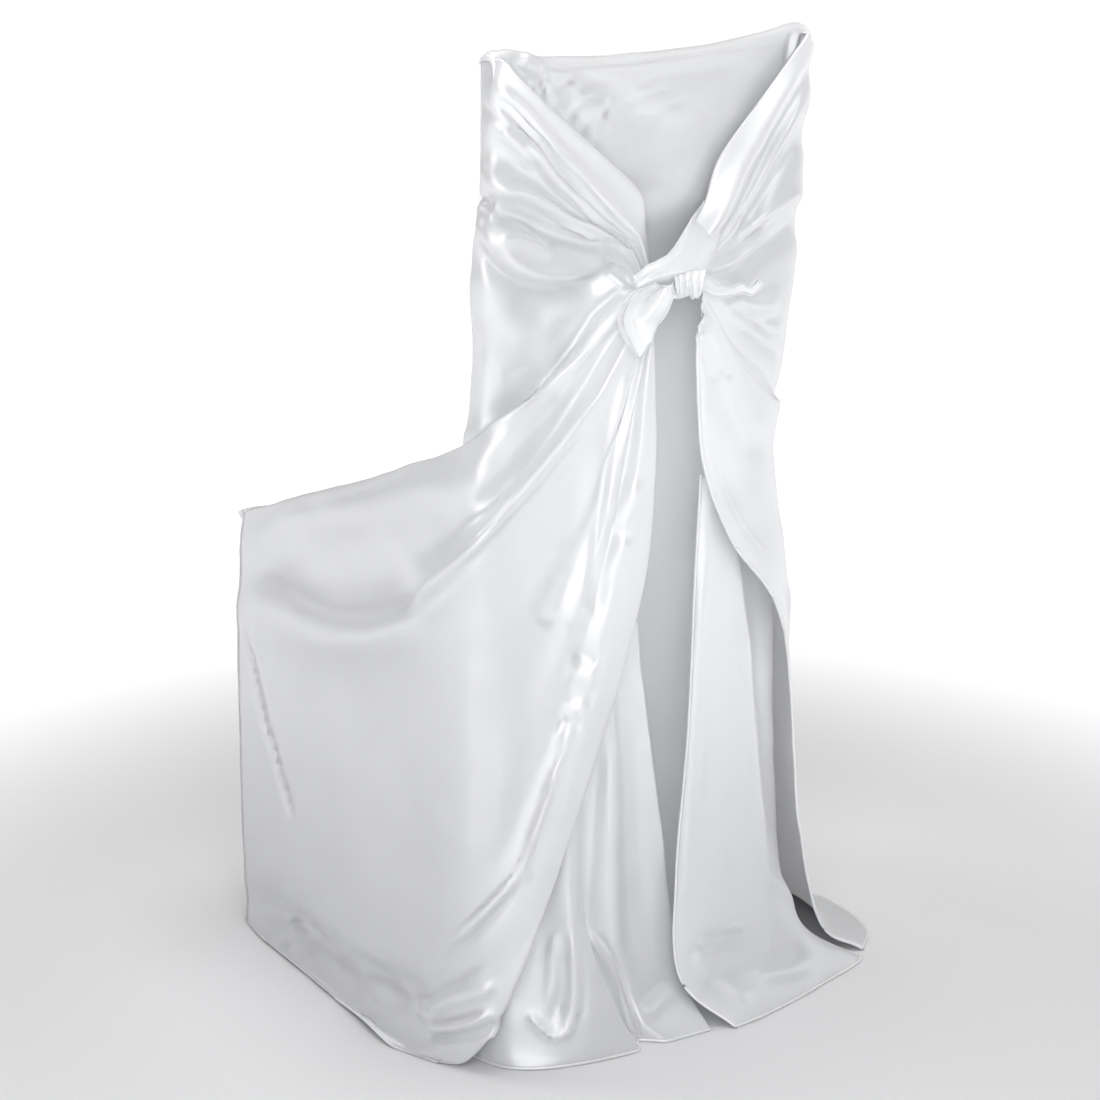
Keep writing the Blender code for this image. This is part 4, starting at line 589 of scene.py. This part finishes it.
# Ribs of the knot's loose cloth: each point is a place in the photo and its depth in table centimetres.
BAND_RIBS = (
    Rib("upper rim", ((704, 203, -3.0), (692, 220, -3.9), (683, 236, -4.8), (672, 252, -6.4),
        (660, 260, -7.6), (648, 266, -7.9), (637, 275, -7.6))),
    Rib("upper edge", ((703, 202, -3.3), (691, 219, -4.3), (681, 236, -5.5), (670, 252, -7.1),
        (658, 261, -8.3), (647, 267, -8.6), (635, 276, -8.2))),
    Rib("upper crest", ((709, 204, -3.6), (698, 222, -4.7), (689, 240, -6.3), (676, 257, -8.1),
        (661, 266, -9.1), (648, 272, -9.2), (635, 281, -8.7))),
    Rib("dip", ((714, 206, -3.9), (704, 224, -5.0), (696, 243, -6.4), (682, 262, -8.0), (664, 270, -8.9),
        (650, 276, -9.0), (636, 285, -8.5))),
    Rib("lower crest", ((720, 208, -4.1), (711, 226, -5.3), (703, 247, -6.7), (689, 267, -8.3),
        (668, 273, -9.1), (652, 279, -9.1), (638, 288, -8.6))),
    Rib("lower edge", ((727, 211, -4.1), (719, 229, -5.2), (711, 252, -6.0), (697, 273, -7.5),
        (673, 278, -8.6), (655, 283, -8.7), (640, 292, -8.2))),
    Rib("lower rim", ((730, 213, -3.6), (722, 231, -4.6), (714, 256, -5.2), (700, 277, -6.6),
        (674, 281, -8.0), (656, 285, -8.2), (641, 294, -7.7))),
)

LOOP_RIBS = (
    Rib("left rim", ((652, 281, -8.3), (637, 290, -8.5), (626, 300, -8.6), (620, 314, -8.7),
        (620, 328, -8.9), (628, 344, -9.0), (638, 359, -9.0))),
    Rib("rim crest", ((655, 283, -9.3), (641, 291, -9.7), (630, 301, -9.9), (624, 314, -10.0),
        (624, 327, -9.9), (631, 342, -9.8), (640, 359, -9.4))),
    Rib("rim inside", ((658, 285, -9.1), (645, 294, -9.2), (635, 303, -9.2), (629, 315, -9.3),
        (629, 326, -9.5), (635, 340, -9.5), (642, 357, -9.2))),
    Rib("hollow", ((661, 287, -8.9), (649, 297, -8.6), (640, 306, -8.5), (635, 316, -8.7),
        (635, 325, -9.1), (639, 337, -9.2), (644, 354, -9.1))),
    Rib("petal rise", ((664, 287, -9.3), (655, 297, -9.4), (647, 307, -9.4), (642, 317, -9.3),
        (641, 325, -9.2), (643, 335, -9.1), (646, 350, -8.9))),
    Rib("petal crest", ((668, 287, -9.7), (663, 297, -10.1), (657, 307, -10.1), (651, 316, -9.8),
        (648, 324, -9.4), (648, 334, -9.1), (648, 346, -8.8))),
    Rib("right edge", ((672, 285, -9.3), (671, 296, -9.4), (667, 307, -9.3), (661, 317, -9.1),
        (655, 324, -8.9), (652, 334, -8.8), (650, 344, -8.6))),
    Rib("right rim", ((673, 284, -8.6), (673, 296, -8.6), (669, 307, -8.5), (663, 318, -8.4),
        (657, 325, -8.3), (653, 335, -8.3), (651, 344, -8.3))),
)

TAIL_RIBS = (
    Rib("upper rim", ((705, 275, -7.0), (713, 280, -7.0), (721, 286, -6.8), (731, 287, -6.5),
        (741, 284, -6.2), (750, 287, -6.1), (756, 279, -6.0))),
    Rib("upper crest", ((706, 277, -7.7), (714, 282, -7.7), (722, 288, -7.4), (731, 289, -7.1),
        (741, 286, -6.8), (750, 289, -6.6), (758, 280, -6.4))),
    Rib("groove", ((704, 282, -7.5), (713, 287, -7.3), (722, 290, -7.2), (732, 291, -7.0),
        (742, 288, -6.8), (751, 291, -6.6), (760, 282, -6.4))),
    Rib("lower crest", ((702, 288, -7.8), (712, 293, -7.7), (722, 294, -7.5), (733, 293, -7.1),
        (742, 290, -6.8), (752, 293, -6.6), (762, 284, -6.4))),
    Rib("lower rim", ((701, 291, -7.1), (711, 297, -7.0), (722, 297, -6.9), (733, 295, -6.6),
        (743, 293, -6.3), (752, 295, -6.1), (762, 287, -6.0))),
)


def smooth_curve(points, positions, limited=False):
    """Points on a cubic curve through the given points, at positions counted in spans.

    A limited curve never swings past its points, so ridges and valleys stay where they are stated.
    """
    points = np.asarray(points, dtype=float)
    chords = np.diff(points, axis=0)
    before = np.concatenate([chords[:1], chords])
    after = np.concatenate([chords, chords[-1:]])
    tangents = 0.5 * (before + after)
    if limited:
        product = before * after
        total = before + after
        total = np.where(np.abs(total) < TINY, 1.0, total)
        tangents = np.where(product > 0.0, 2.0 * product / total, 0.0)
    positions = np.asarray(positions, dtype=float)
    span = np.clip(positions.astype(int), 0, len(points) - 2)
    shape = (-1,) + (1,) * (points.ndim - 1)
    t = (positions - span).reshape(shape)
    rise = t * t * (3.0 - 2.0 * t)
    leave = t * (1.0 - t) ** 2
    arrive = t * t * (t - 1.0)
    return points[span] + chords[span] * rise + tangents[span] * leave + tangents[span + 1] * arrive


def even_steps(count, steps):
    """Positions along a curve of count points, with steps of them in each span."""
    return np.linspace(0.0, count - 1.0, (count - 1) * steps + 1)


def shared_steps(points, steps, least):
    """Positions along a curve, steps to a span on average, of which the wide spans get more."""
    widths = np.linalg.norm(np.diff(points, axis=0), axis=-1).mean(axis=1)
    spare = (steps - least) * len(widths)
    counts = least + np.floor(spare * widths / widths.sum()).astype(int)
    positions = [index + step / count for index, count in enumerate(counts) for step in range(count)]
    return np.array(positions + [float(len(widths))])


def seam_point(side, position):
    """A point of the front seam; side is -1 on the left and 1 on the right."""
    lift = max(side, 0)
    points = [(side * row.x, row.y, row.z + lift * row.right_lift) for row in SEAM_LINE]
    return smooth_curve(points, [position], limited=True)[0]


def wing_rows(table, side):
    """Station points of each fold, the last one on the seam or on the hem."""
    rows = []
    for fold in table:
        last = fold.seam
        if not isinstance(last, tuple):
            last = seam_point(side, last)
        rows.append([fold.root, fold.neck, fold.near, fold.mid, fold.far, fold.turn,
                     fold.side, fold.reach, last])
    rows = np.array(rows, dtype=float)
    upper = rows[:, TURN_STATION, 2] > ARM_TOP
    upper[0] = False
    halfway = 0.5 * (rows[upper, FAR_STATION] + rows[upper, SIDE_STATION])
    rows[upper, TURN_STATION] += CORNER_SOFT * (halfway - rows[upper, TURN_STATION])
    return rows


def loft(rows, fold_steps, span_steps):
    """Grid of points through the rows of stations, smooth both ways."""
    rows = np.asarray(rows, dtype=float)
    across = smooth_curve(rows, even_steps(rows.shape[0], fold_steps), limited=True)
    turned = np.swapaxes(across, 0, 1)
    along = smooth_curve(turned, even_steps(rows.shape[1], span_steps))
    return np.swapaxes(along, 0, 1)


def grid_normals(grid):
    """Unit normals of a grid of points."""
    along_rows = np.gradient(grid, axis=0)
    along_stations = np.gradient(grid, axis=1)
    normals = np.cross(along_rows, along_stations)
    length = np.linalg.norm(normals, axis=2, keepdims=True)
    return normals / np.maximum(length, TINY)


def eye_axes():
    """The camera's right, up and forward directions."""
    turn = math.radians(AZIMUTH)
    tilt = math.radians(PITCH)
    level = math.cos(tilt)
    forward = np.array([-math.sin(turn) * level, math.cos(turn) * level, -math.sin(tilt)])
    right = np.array([math.cos(turn), math.sin(turn), 0.0])
    return right, np.cross(right, forward), forward


def to_photo(points):
    """Photo pixels of table points."""
    right, up, forward = eye_axes()
    ray = np.asarray(points, dtype=float) - EYE
    depth = ray @ forward
    across = PHOTO / 2 + FOCAL_PX * (ray @ right) / depth
    down = PHOTO / 2 - FOCAL_PX * (ray @ up) / depth
    return np.stack([across, down], axis=-1)


def from_photo(across, down, y):
    """The table point seen at a photo pixel, at a given depth y."""
    right, up, forward = eye_axes()
    ray = forward + right * (across - PHOTO / 2) / FOCAL_PX + up * (PHOTO / 2 - down) / FOCAL_PX
    return np.array(EYE) + ray * (y - EYE[1]) / ray[1]


def fade(value, start, end):
    """Rises smoothly from 0 at start to 1 at end."""
    t = np.clip((value - start) / (end - start), 0.0, 1.0)
    return t * t * (3.0 - 2.0 * t)


def crease_height(pixels, crease):
    """Height of one crease at each pixel, in mm."""
    course = smooth_curve(crease.points, even_steps(len(crease.points), CREASE_STEPS))
    best = np.full(len(pixels), np.inf)
    side = np.ones(len(pixels))
    place_along = np.zeros(len(pixels))
    lengths = np.linalg.norm(np.diff(course, axis=0), axis=1)
    starts = np.concatenate([[0.0], np.cumsum(lengths)])
    for start, end, length, before in zip(course, course[1:], lengths, starts):
        way = (end - start) / length
        offset = pixels - start
        along = np.clip(offset @ way, 0.0, length)
        gap = offset - along[:, None] * way
        distance = np.linalg.norm(gap, axis=1)
        closer = distance < best
        best = np.where(closer, distance, best)
        turn = way[0] * gap[:, 1] - way[1] * gap[:, 0]
        side = np.where(closer, turn, side)
        place_along = np.where(closer, before + along, place_along)
    reach = np.where(side < 0.0, crease.left, crease.right)
    run = place_along / starts[-1]
    taper = fade(run, 0.0, CREASE_TAPER) * fade(1.0 - run, 0.0, CREASE_TAPER)
    return crease.height * taper * np.exp(-(best / reach) ** 2)


def add_creases(grid, facing, creases):
    """The grid with its creases raised or sunk along its own normals, where the camera sees it."""
    normals = facing * grid_normals(grid)
    ray = np.array(EYE) - grid
    ray /= np.linalg.norm(ray, axis=2, keepdims=True)
    seen = fade((normals * ray).sum(axis=2), 0.0, SEEN_SLOPE).ravel()
    flat = grid.reshape(-1, 3)
    pixels = to_photo(flat)
    height = sum(crease_height(pixels, crease) for crease in creases)
    lift = (CM_PER_MM * height * seen)[:, None]
    return (flat + normals.reshape(-1, 3) * lift).reshape(grid.shape)


def add_ripple(grid, facing, size, depth):
    """The grid with soft unevenness of a given size and depth, in cm."""
    normals = facing * grid_normals(grid)
    flat = grid.reshape(-1, 3)
    wave = np.array([noise.noise(Vector(point / size)) for point in flat])
    return (flat + normals.reshape(-1, 3) * (depth * wave)[:, None]).reshape(grid.shape)


def world(points):
    """Table points in centimetres as world points in metres."""
    return (np.asarray(points, dtype=float) + ORIGIN_SHIFT) * CM


class Shape:
    """Points and faces gathered for one mesh."""

    def __init__(self):
        self.points = []
        self.faces = []
        self.count = 0

    def add(self, points, faces):
        """Adds points, in table centimetres, and faces that count from the first of them."""
        self.points.append(np.asarray(points, dtype=float).reshape(-1, 3))
        self.faces.append(np.asarray(faces) + self.count)
        self.count += len(self.points[-1])

    def finish(self, name, material, body="root"):
        """The finished object, shaded smooth."""
        points = world(np.concatenate(self.points))
        faces = [face.tolist() for block in self.faces for face in block]
        mesh = bpy.data.meshes.new(name)
        mesh.from_pydata(points.tolist(), [], faces)
        mesh.validate()
        mesh.shade_smooth()
        mesh.materials.append(material)
        item = bpy.data.objects.new(name, mesh)
        bpy.context.collection.objects.link(item)
        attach(item, body)
        return item


def add_sheet(shape, grid, facing, thickness=SATIN_CM):
    """Adds a closed thin sheet: the grid is its outer face."""
    inner = grid - facing * thickness * grid_normals(grid)
    outer = grid.copy()
    outer[:, :, 2] = np.maximum(outer[:, :, 2], thickness)
    inner[:, :, 2] = np.maximum(inner[:, :, 2], 0.0)
    rows, stations = grid.shape[:2]
    index = np.arange(rows * stations).reshape(rows, stations)
    skin = np.stack([index[:-1, :-1], index[1:, :-1], index[1:, 1:], index[:-1, 1:]], axis=2)
    skin = skin.reshape(-1, 4)
    back = rows * stations
    rim = np.concatenate([index[:, 0], index[-1, 1:], index[-2::-1, -1], index[0, -2:0:-1]])
    after = np.roll(rim, -1)
    edge = np.stack([after, rim, rim + back, after + back], axis=1)
    faces = np.concatenate([skin, skin[:, ::-1] + back, edge])
    if facing < 0:
        faces = faces[:, ::-1]
    shape.add(np.concatenate([outer.reshape(-1, 3), inner.reshape(-1, 3)]), faces)


def turn_under(grid, facing, radius, first=False):
    """The grid with its last row, or its first one, turned under in a soft fold."""
    if first:
        return turn_under(grid[::-1], -facing, radius)[::-1]
    inwards = -facing * grid_normals(grid)[-1]
    onwards = grid[-1] - grid[-3]
    onwards /= np.maximum(np.linalg.norm(onwards, axis=1, keepdims=True), TINY)
    rows = [grid]
    for angle in np.radians(TURN_ANGLES):
        turned = math.sin(angle) * onwards + (1.0 - math.cos(angle)) * inwards
        rows.append((grid[-1] + radius * turned)[None])
    return np.concatenate(rows)


def add_bead(shape, course, radius):
    """Adds a rolled hem: a round bead along a course of points."""
    course = np.asarray(course, dtype=float)
    gaps = np.linalg.norm(np.diff(course, axis=0), axis=1)
    course = course[np.concatenate([[True], gaps > LEAST_GAP])]
    course[:, 2] = np.maximum(course[:, 2], radius)
    run = np.gradient(course, axis=0)
    run /= np.maximum(np.linalg.norm(run, axis=1, keepdims=True), TINY)
    helper = np.where(np.abs(run[:, 2:3]) > STEEP, [[0.0, 1.0, 0.0]], [[0.0, 0.0, 1.0]])
    out = np.cross(run, helper)
    out /= np.linalg.norm(out, axis=1, keepdims=True)
    up = np.cross(out, run)
    turns = (2.0 * np.pi * np.arange(BEAD_SIDES) / BEAD_SIDES)[None, :, None]
    rings = course[:, None] + radius * (np.cos(turns) * out[:, None] + np.sin(turns) * up[:, None])
    count = len(course)
    index = np.arange(count * BEAD_SIDES).reshape(count, BEAD_SIDES)
    after = np.roll(index, -1, axis=1)
    walls = np.stack([index[:-1], index[1:], after[1:], after[:-1]], axis=2).reshape(-1, 4)
    shape.add(rings, walls)


def set_inputs(node, values):
    """Gives a node's inputs their values, by name."""
    for name, value in values.items():
        node.inputs[name].default_value = value


def satin(name, colour, roughness, painted_slit_glow=0.0):
    """White satin: a smooth sheen, a fine weave and slightly uneven gloss.

    The painted slit glow is an emission below a set height, in place of the light that reaches the
    cloth in the slit through the sheets around it.
    """
    material = bpy.data.materials.new(name)
    material.use_nodes = True
    nodes = material.node_tree.nodes
    links = material.node_tree.links
    shader = nodes["Principled BSDF"]
    set_inputs(shader, {
        "Metallic": SATIN_METALLIC,
        "Specular IOR Level": SATIN_SPECULAR,
        "Subsurface Weight": SATIN_GLOW,
        "Subsurface Radius": (1.0, 1.0, 1.0),
        "Subsurface Scale": SATIN_GLOW_METRES,
    })
    place_node = nodes.new("ShaderNodeTexCoord")
    # Painted glow: an emission that brightens the panel below a set height, in place of light in the
    # slit.
    if painted_slit_glow:
        split = nodes.new("ShaderNodeSeparateXYZ")
        links.new(place_node.outputs["Object"], split.inputs["Vector"])
        lit = nodes.new("ShaderNodeMapRange")
        set_inputs(lit, {"From Min": SLIT_TOP, "From Max": SLIT_TOP - SLIT_FADE, "To Max": painted_slit_glow})
        links.new(split.outputs["Z"], lit.inputs["Value"])
        shader.inputs["Emission Color"].default_value = (*colour, 1.0)
        links.new(lit.outputs["Result"], shader.inputs["Emission Strength"])
    cloud = nodes.new("ShaderNodeTexNoise")
    set_inputs(cloud, {"Scale": CLOUD_SCALE, "Detail": CLOUD_DETAIL})
    links.new(place_node.outputs["Object"], cloud.inputs["Vector"])
    tint = nodes.new("ShaderNodeValToRGB")
    tint.color_ramp.elements[0].position = CLOUD_LOW
    tint.color_ramp.elements[0].color = (*(value * CLOUD_SHADE for value in colour), 1.0)
    tint.color_ramp.elements[1].position = CLOUD_HIGH
    tint.color_ramp.elements[1].color = (*colour, 1.0)
    links.new(cloud.outputs["Fac"], tint.inputs["Fac"])
    links.new(tint.outputs["Color"], shader.inputs["Base Color"])
    gloss = nodes.new("ShaderNodeMapRange")
    set_inputs(gloss, {"To Min": roughness - GLOSS_FALL, "To Max": roughness + GLOSS_RISE})
    links.new(cloud.outputs["Fac"], gloss.inputs["Value"])
    links.new(gloss.outputs["Result"], shader.inputs["Roughness"])
    threads = nodes.new("ShaderNodeMapping")
    set_inputs(threads, {"Scale": WEAVE_SCALE})
    links.new(place_node.outputs["Object"], threads.inputs["Vector"])
    weave = nodes.new("ShaderNodeTexNoise")
    set_inputs(weave, {"Scale": 1.0, "Detail": WEAVE_DETAIL})
    links.new(threads.outputs["Vector"], weave.inputs["Vector"])
    relief = nodes.new("ShaderNodeBump")
    set_inputs(relief, {"Strength": WEAVE_STRENGTH, "Distance": WEAVE_METRES})
    links.new(weave.outputs["Fac"], relief.inputs["Height"])
    links.new(relief.outputs["Normal"], shader.inputs["Normal"])
    return material


def wing_grid(table, side, facing, creases):
    """Fine grid of a wing with its creases."""
    rows = wing_rows(table, side)
    steps = shared_steps(rows, WING_FOLD_STEPS, WING_LEAST_FOLD_STEPS)
    turned = np.swapaxes(smooth_curve(rows, steps, limited=True), 0, 1)
    steps = shared_steps(turned, WING_SPAN_STEPS, WING_LEAST_SPAN_STEPS)
    grid = np.swapaxes(smooth_curve(turned, steps), 0, 1)
    grid = add_creases(grid, facing, creases)
    return add_ripple(grid, facing, *WING_RIPPLE)


def make_wing(name, table, side, facing, creases, trailing_fold, material):
    """A side sheet: V edge turned under, seam and hem rolled, inner edge turned under or rolled."""
    grid = wing_grid(table, side, facing, creases)
    shape = Shape()
    cloth = turn_under(grid, facing, V_FOLD, first=True)
    if trailing_fold:
        cloth = turn_under(cloth, facing, trailing_fold)
    else:
        add_bead(shape, grid[-1], HEM_RADIUS)
    add_sheet(shape, cloth, facing)
    first_on_hem = next(i for i, fold in enumerate(table) if isinstance(fold.seam, tuple))
    split = (first_on_hem - 1) * WING_FOLD_STEPS
    add_bead(shape, grid[split:, -1], HEM_RADIUS)
    add_bead(shape, grid[:split + 1, -1], SEAM_RADIUS)
    return shape.finish(name, material)


def make_gore(name, table, creases, rolled, material):
    """A pleated skirt piece with its hem rolled.

    Its free edge is rolled, as the first row, or turned under, as the last one.
    """
    rows = [[row.top, row.high, row.mid, row.low, row.foot, row.hem] for row in table]
    grid = loft(rows, GORE_FOLD_STEPS, GORE_SPAN_STEPS)
    grid = add_creases(grid, -1, creases)
    grid = add_ripple(grid, -1, *GORE_RIPPLE)
    shape = Shape()
    if rolled:
        add_bead(shape, grid[0], HEM_RADIUS)
        add_sheet(shape, grid, -1)
    else:
        add_sheet(shape, turn_under(grid, -1, V_FOLD), -1)
    add_bead(shape, grid[:, -1], HEM_RADIUS)
    return shape.finish(name, material)


def make_back_panel(material):
    """The inner back panel, round over the crown, with its corner pleats."""
    spread = np.sin(0.5 * np.pi * np.linspace(-1.0, 1.0, PANEL_COLUMNS))
    rows = []
    for level, corner in zip(BACK_PANEL, CORNER_DROPS):
        beyond = np.clip((np.abs(spread) - CORNER_START) / (1.0 - CORNER_START), 0.0, 1.0)
        rounding = 1.0 - np.sqrt(1.0 - beyond ** 2)
        drop = level.sag * (1.0 - np.abs(spread) ** SAG_POWER) + corner * rounding
        height = level.z - drop + level.right_lift * 0.5 * (1.0 + spread)
        width = level.half_width + (CORNER_WIDE if corner > 0.0 else 0.0)
        depth = np.full(PANEL_COLUMNS, level.y)
        rows.append(np.stack([width * spread, depth, height], axis=1))
    grid = loft(np.swapaxes(np.array(rows), 0, 1), PANEL_STEPS, PANEL_STEPS)
    grid = add_creases(grid, -1, BACK_CREASES)
    grid = add_ripple(grid, -1, *BACK_RIPPLE)
    shape = Shape()
    add_sheet(shape, grid, -1)
    add_bead(shape, grid[:, -1], HEM_RADIUS)
    return shape.finish("back_panel_cloth", material)


def make_front_panel(material):
    """The front over the backrest, the seat and the drop to the floor."""
    rows = []
    for level in FRONT:
        left = seam_point(-1, level.seam) + (FRONT_INSET, 0.0, 0.0)
        right = seam_point(1, level.seam) - (FRONT_INSET, 0.0, 0.0)
        halfway = 0.5 * (left + right)
        sag = np.array([0.0, level.y, level.z]) - halfway
        spread = np.linspace(-1.0, 1.0, FRONT_COLUMNS)[:, None]
        dip = sag * (1.0 - np.abs(spread) ** SAG_POWER)
        rows.append(halfway + 0.5 * spread * (right - left) + dip)
    grid = loft(np.swapaxes(np.array(rows), 0, 1), PANEL_STEPS, PANEL_STEPS)
    grid = add_ripple(grid, 1, *FRONT_RIPPLE)
    shape = Shape()
    add_sheet(shape, grid, 1)
    add_bead(shape, grid[:, -1], HEM_RADIUS)
    add_bead(shape, grid[:, 0], SEAM_RADIUS)
    return shape.finish("front_panel_cloth", material)


def rear_facing(grid):
    """1 where a grid's normals point to the rear, otherwise -1."""
    return 1 if grid_normals(grid)[:, :, 1].mean() < 0.0 else -1


def make_ribbed(name, ribs, material):
    """A loose piece of the knot, through ribs that are placed by the photo."""
    rows = [[from_photo(*point) for point in rib.points] for rib in ribs]
    grid = loft(rows, RIB_STEPS, RIB_SPAN_STEPS)
    facing = rear_facing(grid)
    grid = add_ripple(grid, facing, *TIE_RIPPLE)
    shape = Shape()
    add_sheet(shape, grid, facing)
    for edge in (grid[0], grid[-1], grid[:, 0], grid[:, -1]):
        add_bead(shape, edge, TIE_RADIUS)
    return shape.finish(name, material)


def add_filling(shape):
    """Adds the lump of cloth inside the knot, with pleats that run from side to side."""
    angles = np.pi * (np.arange(FILL_RINGS) + 0.5) / FILL_RINGS
    turns = 2.0 * np.pi * np.arange(FILL_SIDES) / FILL_SIDES
    angle, turn = np.meshgrid(angles, turns, indexing="ij")
    uneven = 0.8 * np.sin(2.0 * turn)
    pleats = FILL_PLEAT_DEPTH * (1.0 + np.cos(FILL_PLEATS * turn + uneven)) * np.sin(angle)
    swell = 1.0 - pleats
    spots = np.stack([-np.cos(angle), np.sin(angle) * np.cos(turn) * swell,
                      np.sin(angle) * np.sin(turn) * swell], axis=2)
    points = np.array(FILL_CENTRE) + np.array(FILL_SIZE) * spots
    index = np.arange(FILL_RINGS * FILL_SIDES).reshape(FILL_RINGS, FILL_SIDES)
    after = np.roll(index, -1, axis=1)
    walls = np.stack([index[:-1], after[:-1], after[1:], index[1:]], axis=2).reshape(-1, 4)
    shape.add(points, walls)


def gather_grid():
    """Grid of the small uneven pleats under the knot's band, placed by the photo."""
    columns = np.linspace(0.0, 1.0, GATHER_COLUMNS)
    rows = np.linspace(0.0, 1.0, GATHER_ROWS)
    across, down = np.meshgrid(columns, rows, indexing="ij")
    phase = GATHER_PLEATS * across + 0.35 * np.sin(4.0 * across + 1.0) + 0.12 * down
    ridge = np.abs(np.sin(np.pi * phase)) ** GATHER_SHARPNESS
    bulge = np.sin(np.pi * (0.12 + 0.80 * down))
    top = np.array(GATHER_TOP) + across[:, :, None] * np.array(GATHER_TOP_RUN)
    foot = np.array(GATHER_FOOT) + across[:, :, None] * np.array(GATHER_FOOT_RUN)
    foot[:, :, 1] += 2.2 * np.sin(11.0 * across) + 1.4 * np.sin(23.0 * across)
    pixels = top + down[:, :, None] * (foot - top)
    depth = GATHER_DEPTH - GATHER_BULGE * bulge - GATHER_RIDGE * ridge * (0.45 + 0.55 * down)
    return np.array([[from_photo(*pixel, y) for pixel, y in zip(*pair)] for pair in zip(pixels, depth)])


def make_knot(material):
    """The knot: a lump of cloth gathered to both sides, with small pleats under the band."""
    shape = Shape()
    add_filling(shape)
    grid = gather_grid()
    add_sheet(shape, grid, rear_facing(grid))
    return shape.finish("knot_cloth", material)


def make_floor():
    """A plain pale floor that grows white with distance, as studio paper does.

    The white is a painted glow: an emission that rises with distance from the middle.
    """
    mesh = bpy.data.meshes.new("floor")
    reach = FLOOR_REACH
    corners = [(-reach, -reach, 0.0), (reach, -reach, 0.0), (reach, reach, 0.0), (-reach, reach, 0.0)]
    mesh.from_pydata(corners, [], [(0, 1, 2, 3)])
    floor = bpy.data.objects.new("floor", mesh)
    bpy.context.collection.objects.link(floor)
    material = bpy.data.materials.new("floor_paper")
    material.use_nodes = True
    nodes = material.node_tree.nodes
    links = material.node_tree.links
    shader = nodes["Principled BSDF"]
    set_inputs(shader, {
        "Base Color": (FLOOR_PALE, FLOOR_PALE, FLOOR_PALE * FLOOR_BLUE, 1.0),
        "Roughness": FLOOR_ROUGHNESS,
        "Specular IOR Level": FLOOR_SPECULAR,
        "Emission Color": (1.0, 1.0, 1.0, 1.0),
    })
    place_node = nodes.new("ShaderNodeTexCoord")
    distance = nodes.new("ShaderNodeVectorMath")
    distance.operation = "LENGTH"
    links.new(place_node.outputs["Object"], distance.inputs[0])
    # Painted glow: emission that rises with distance and turns the far floor white.
    painted_glow = nodes.new("ShaderNodeMapRange")
    painted_glow.interpolation_type = "SMOOTHSTEP"
    set_inputs(painted_glow, {"From Min": FLOOR_NEAR, "From Max": FLOOR_FAR, "To Max": FLOOR_PAINTED_GLOW})
    links.new(distance.outputs["Value"], painted_glow.inputs["Value"])
    links.new(painted_glow.outputs["Result"], shader.inputs["Emission Strength"])
    mesh.materials.append(material)


def aim(item, target):
    """Turns a lamp towards a world point."""
    way = target - item.location
    item.rotation_euler = way.to_track_quat("-Z", "Y").to_euler()


def make_camera():
    """The camera at the photo's place and angle."""
    data = bpy.data.cameras.new("camera")
    data.sensor_width = SENSOR_MM
    data.sensor_fit = "HORIZONTAL"
    data.lens = SENSOR_MM * FOCAL_PX / PHOTO
    camera = bpy.data.objects.new("camera", data)
    bpy.context.collection.objects.link(camera)
    camera.location = Vector(world(EYE))
    forward = Vector(eye_axes()[2])
    camera.rotation_euler = forward.to_track_quat("-Z", "Y").to_euler()
    bpy.context.scene.camera = camera


def make_lamps():
    """Soft studio light: big lamps round the cover and a white surround."""
    target = Vector(LAMP_TARGET)
    for lamp in LAMPS:
        data = bpy.data.lights.new(lamp.name, "AREA")
        data.shape = "DISK"
        data.size = lamp.size
        data.energy = lamp.watts
        item = bpy.data.objects.new(lamp.name, data)
        bpy.context.collection.objects.link(item)
        turn = math.radians(lamp.azimuth)
        rise = math.radians(lamp.elevation)
        way = Vector((math.sin(turn) * math.cos(rise), -math.cos(turn) * math.cos(rise), math.sin(rise)))
        item.location = target + way * lamp.distance
        aim(item, target)
    surround = bpy.data.worlds.new("surround")
    surround.use_nodes = True
    background = surround.node_tree.nodes["Background"]
    set_inputs(background, {"Color": (1.0, 1.0, 1.0, 1.0), "Strength": SURROUND})
    bpy.context.scene.world = surround
    bpy.context.scene.view_settings.view_transform = "Standard"


make_camera()
make_lamps()
make_floor()

white = satin("white_satin", WHITE, WHITE_ROUGHNESS)
# The back panel's satin carries the painted slit glow.
panel_white = satin("panel_satin_cloth", PANEL_WHITE, PANEL_ROUGHNESS, SLIT_PAINTED_GLOW)
tie_white = satin("tie_satin_cloth", TIE_WHITE, TIE_ROUGHNESS)

left_wing = make_wing("left_wing_cloth", LEFT_WING, -1, -1, LEFT_CREASES, TRAILING_FOLD, white)
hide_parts("left_wing")

right_wing = make_wing("right_wing_cloth", RIGHT_WING, 1, 1, RIGHT_CREASES, 0.0, white)
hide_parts("right_wing")

left_gore = make_gore("left_gore_cloth", LEFT_GORE, LEFT_GORE_CREASES, False, white)
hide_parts("left_gore")

right_gore = make_gore("right_gore_cloth", RIGHT_GORE, RIGHT_GORE_CREASES, True, white)
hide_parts("right_gore")

back_panel = make_back_panel(panel_white)
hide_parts("back_panel")

front_panel = make_front_panel(white)
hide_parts("front_panel")

knot = make_knot(tie_white)
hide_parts("knot")

band = make_ribbed("knot_band_cloth", BAND_RIBS, tie_white)
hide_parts("knot_band")

loop = make_ribbed("left_tie_cloth", LOOP_RIBS, tie_white)
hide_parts("left_tie")

tail = make_ribbed("right_tie_cloth", TAIL_RIBS, tie_white)
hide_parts("right_tie")
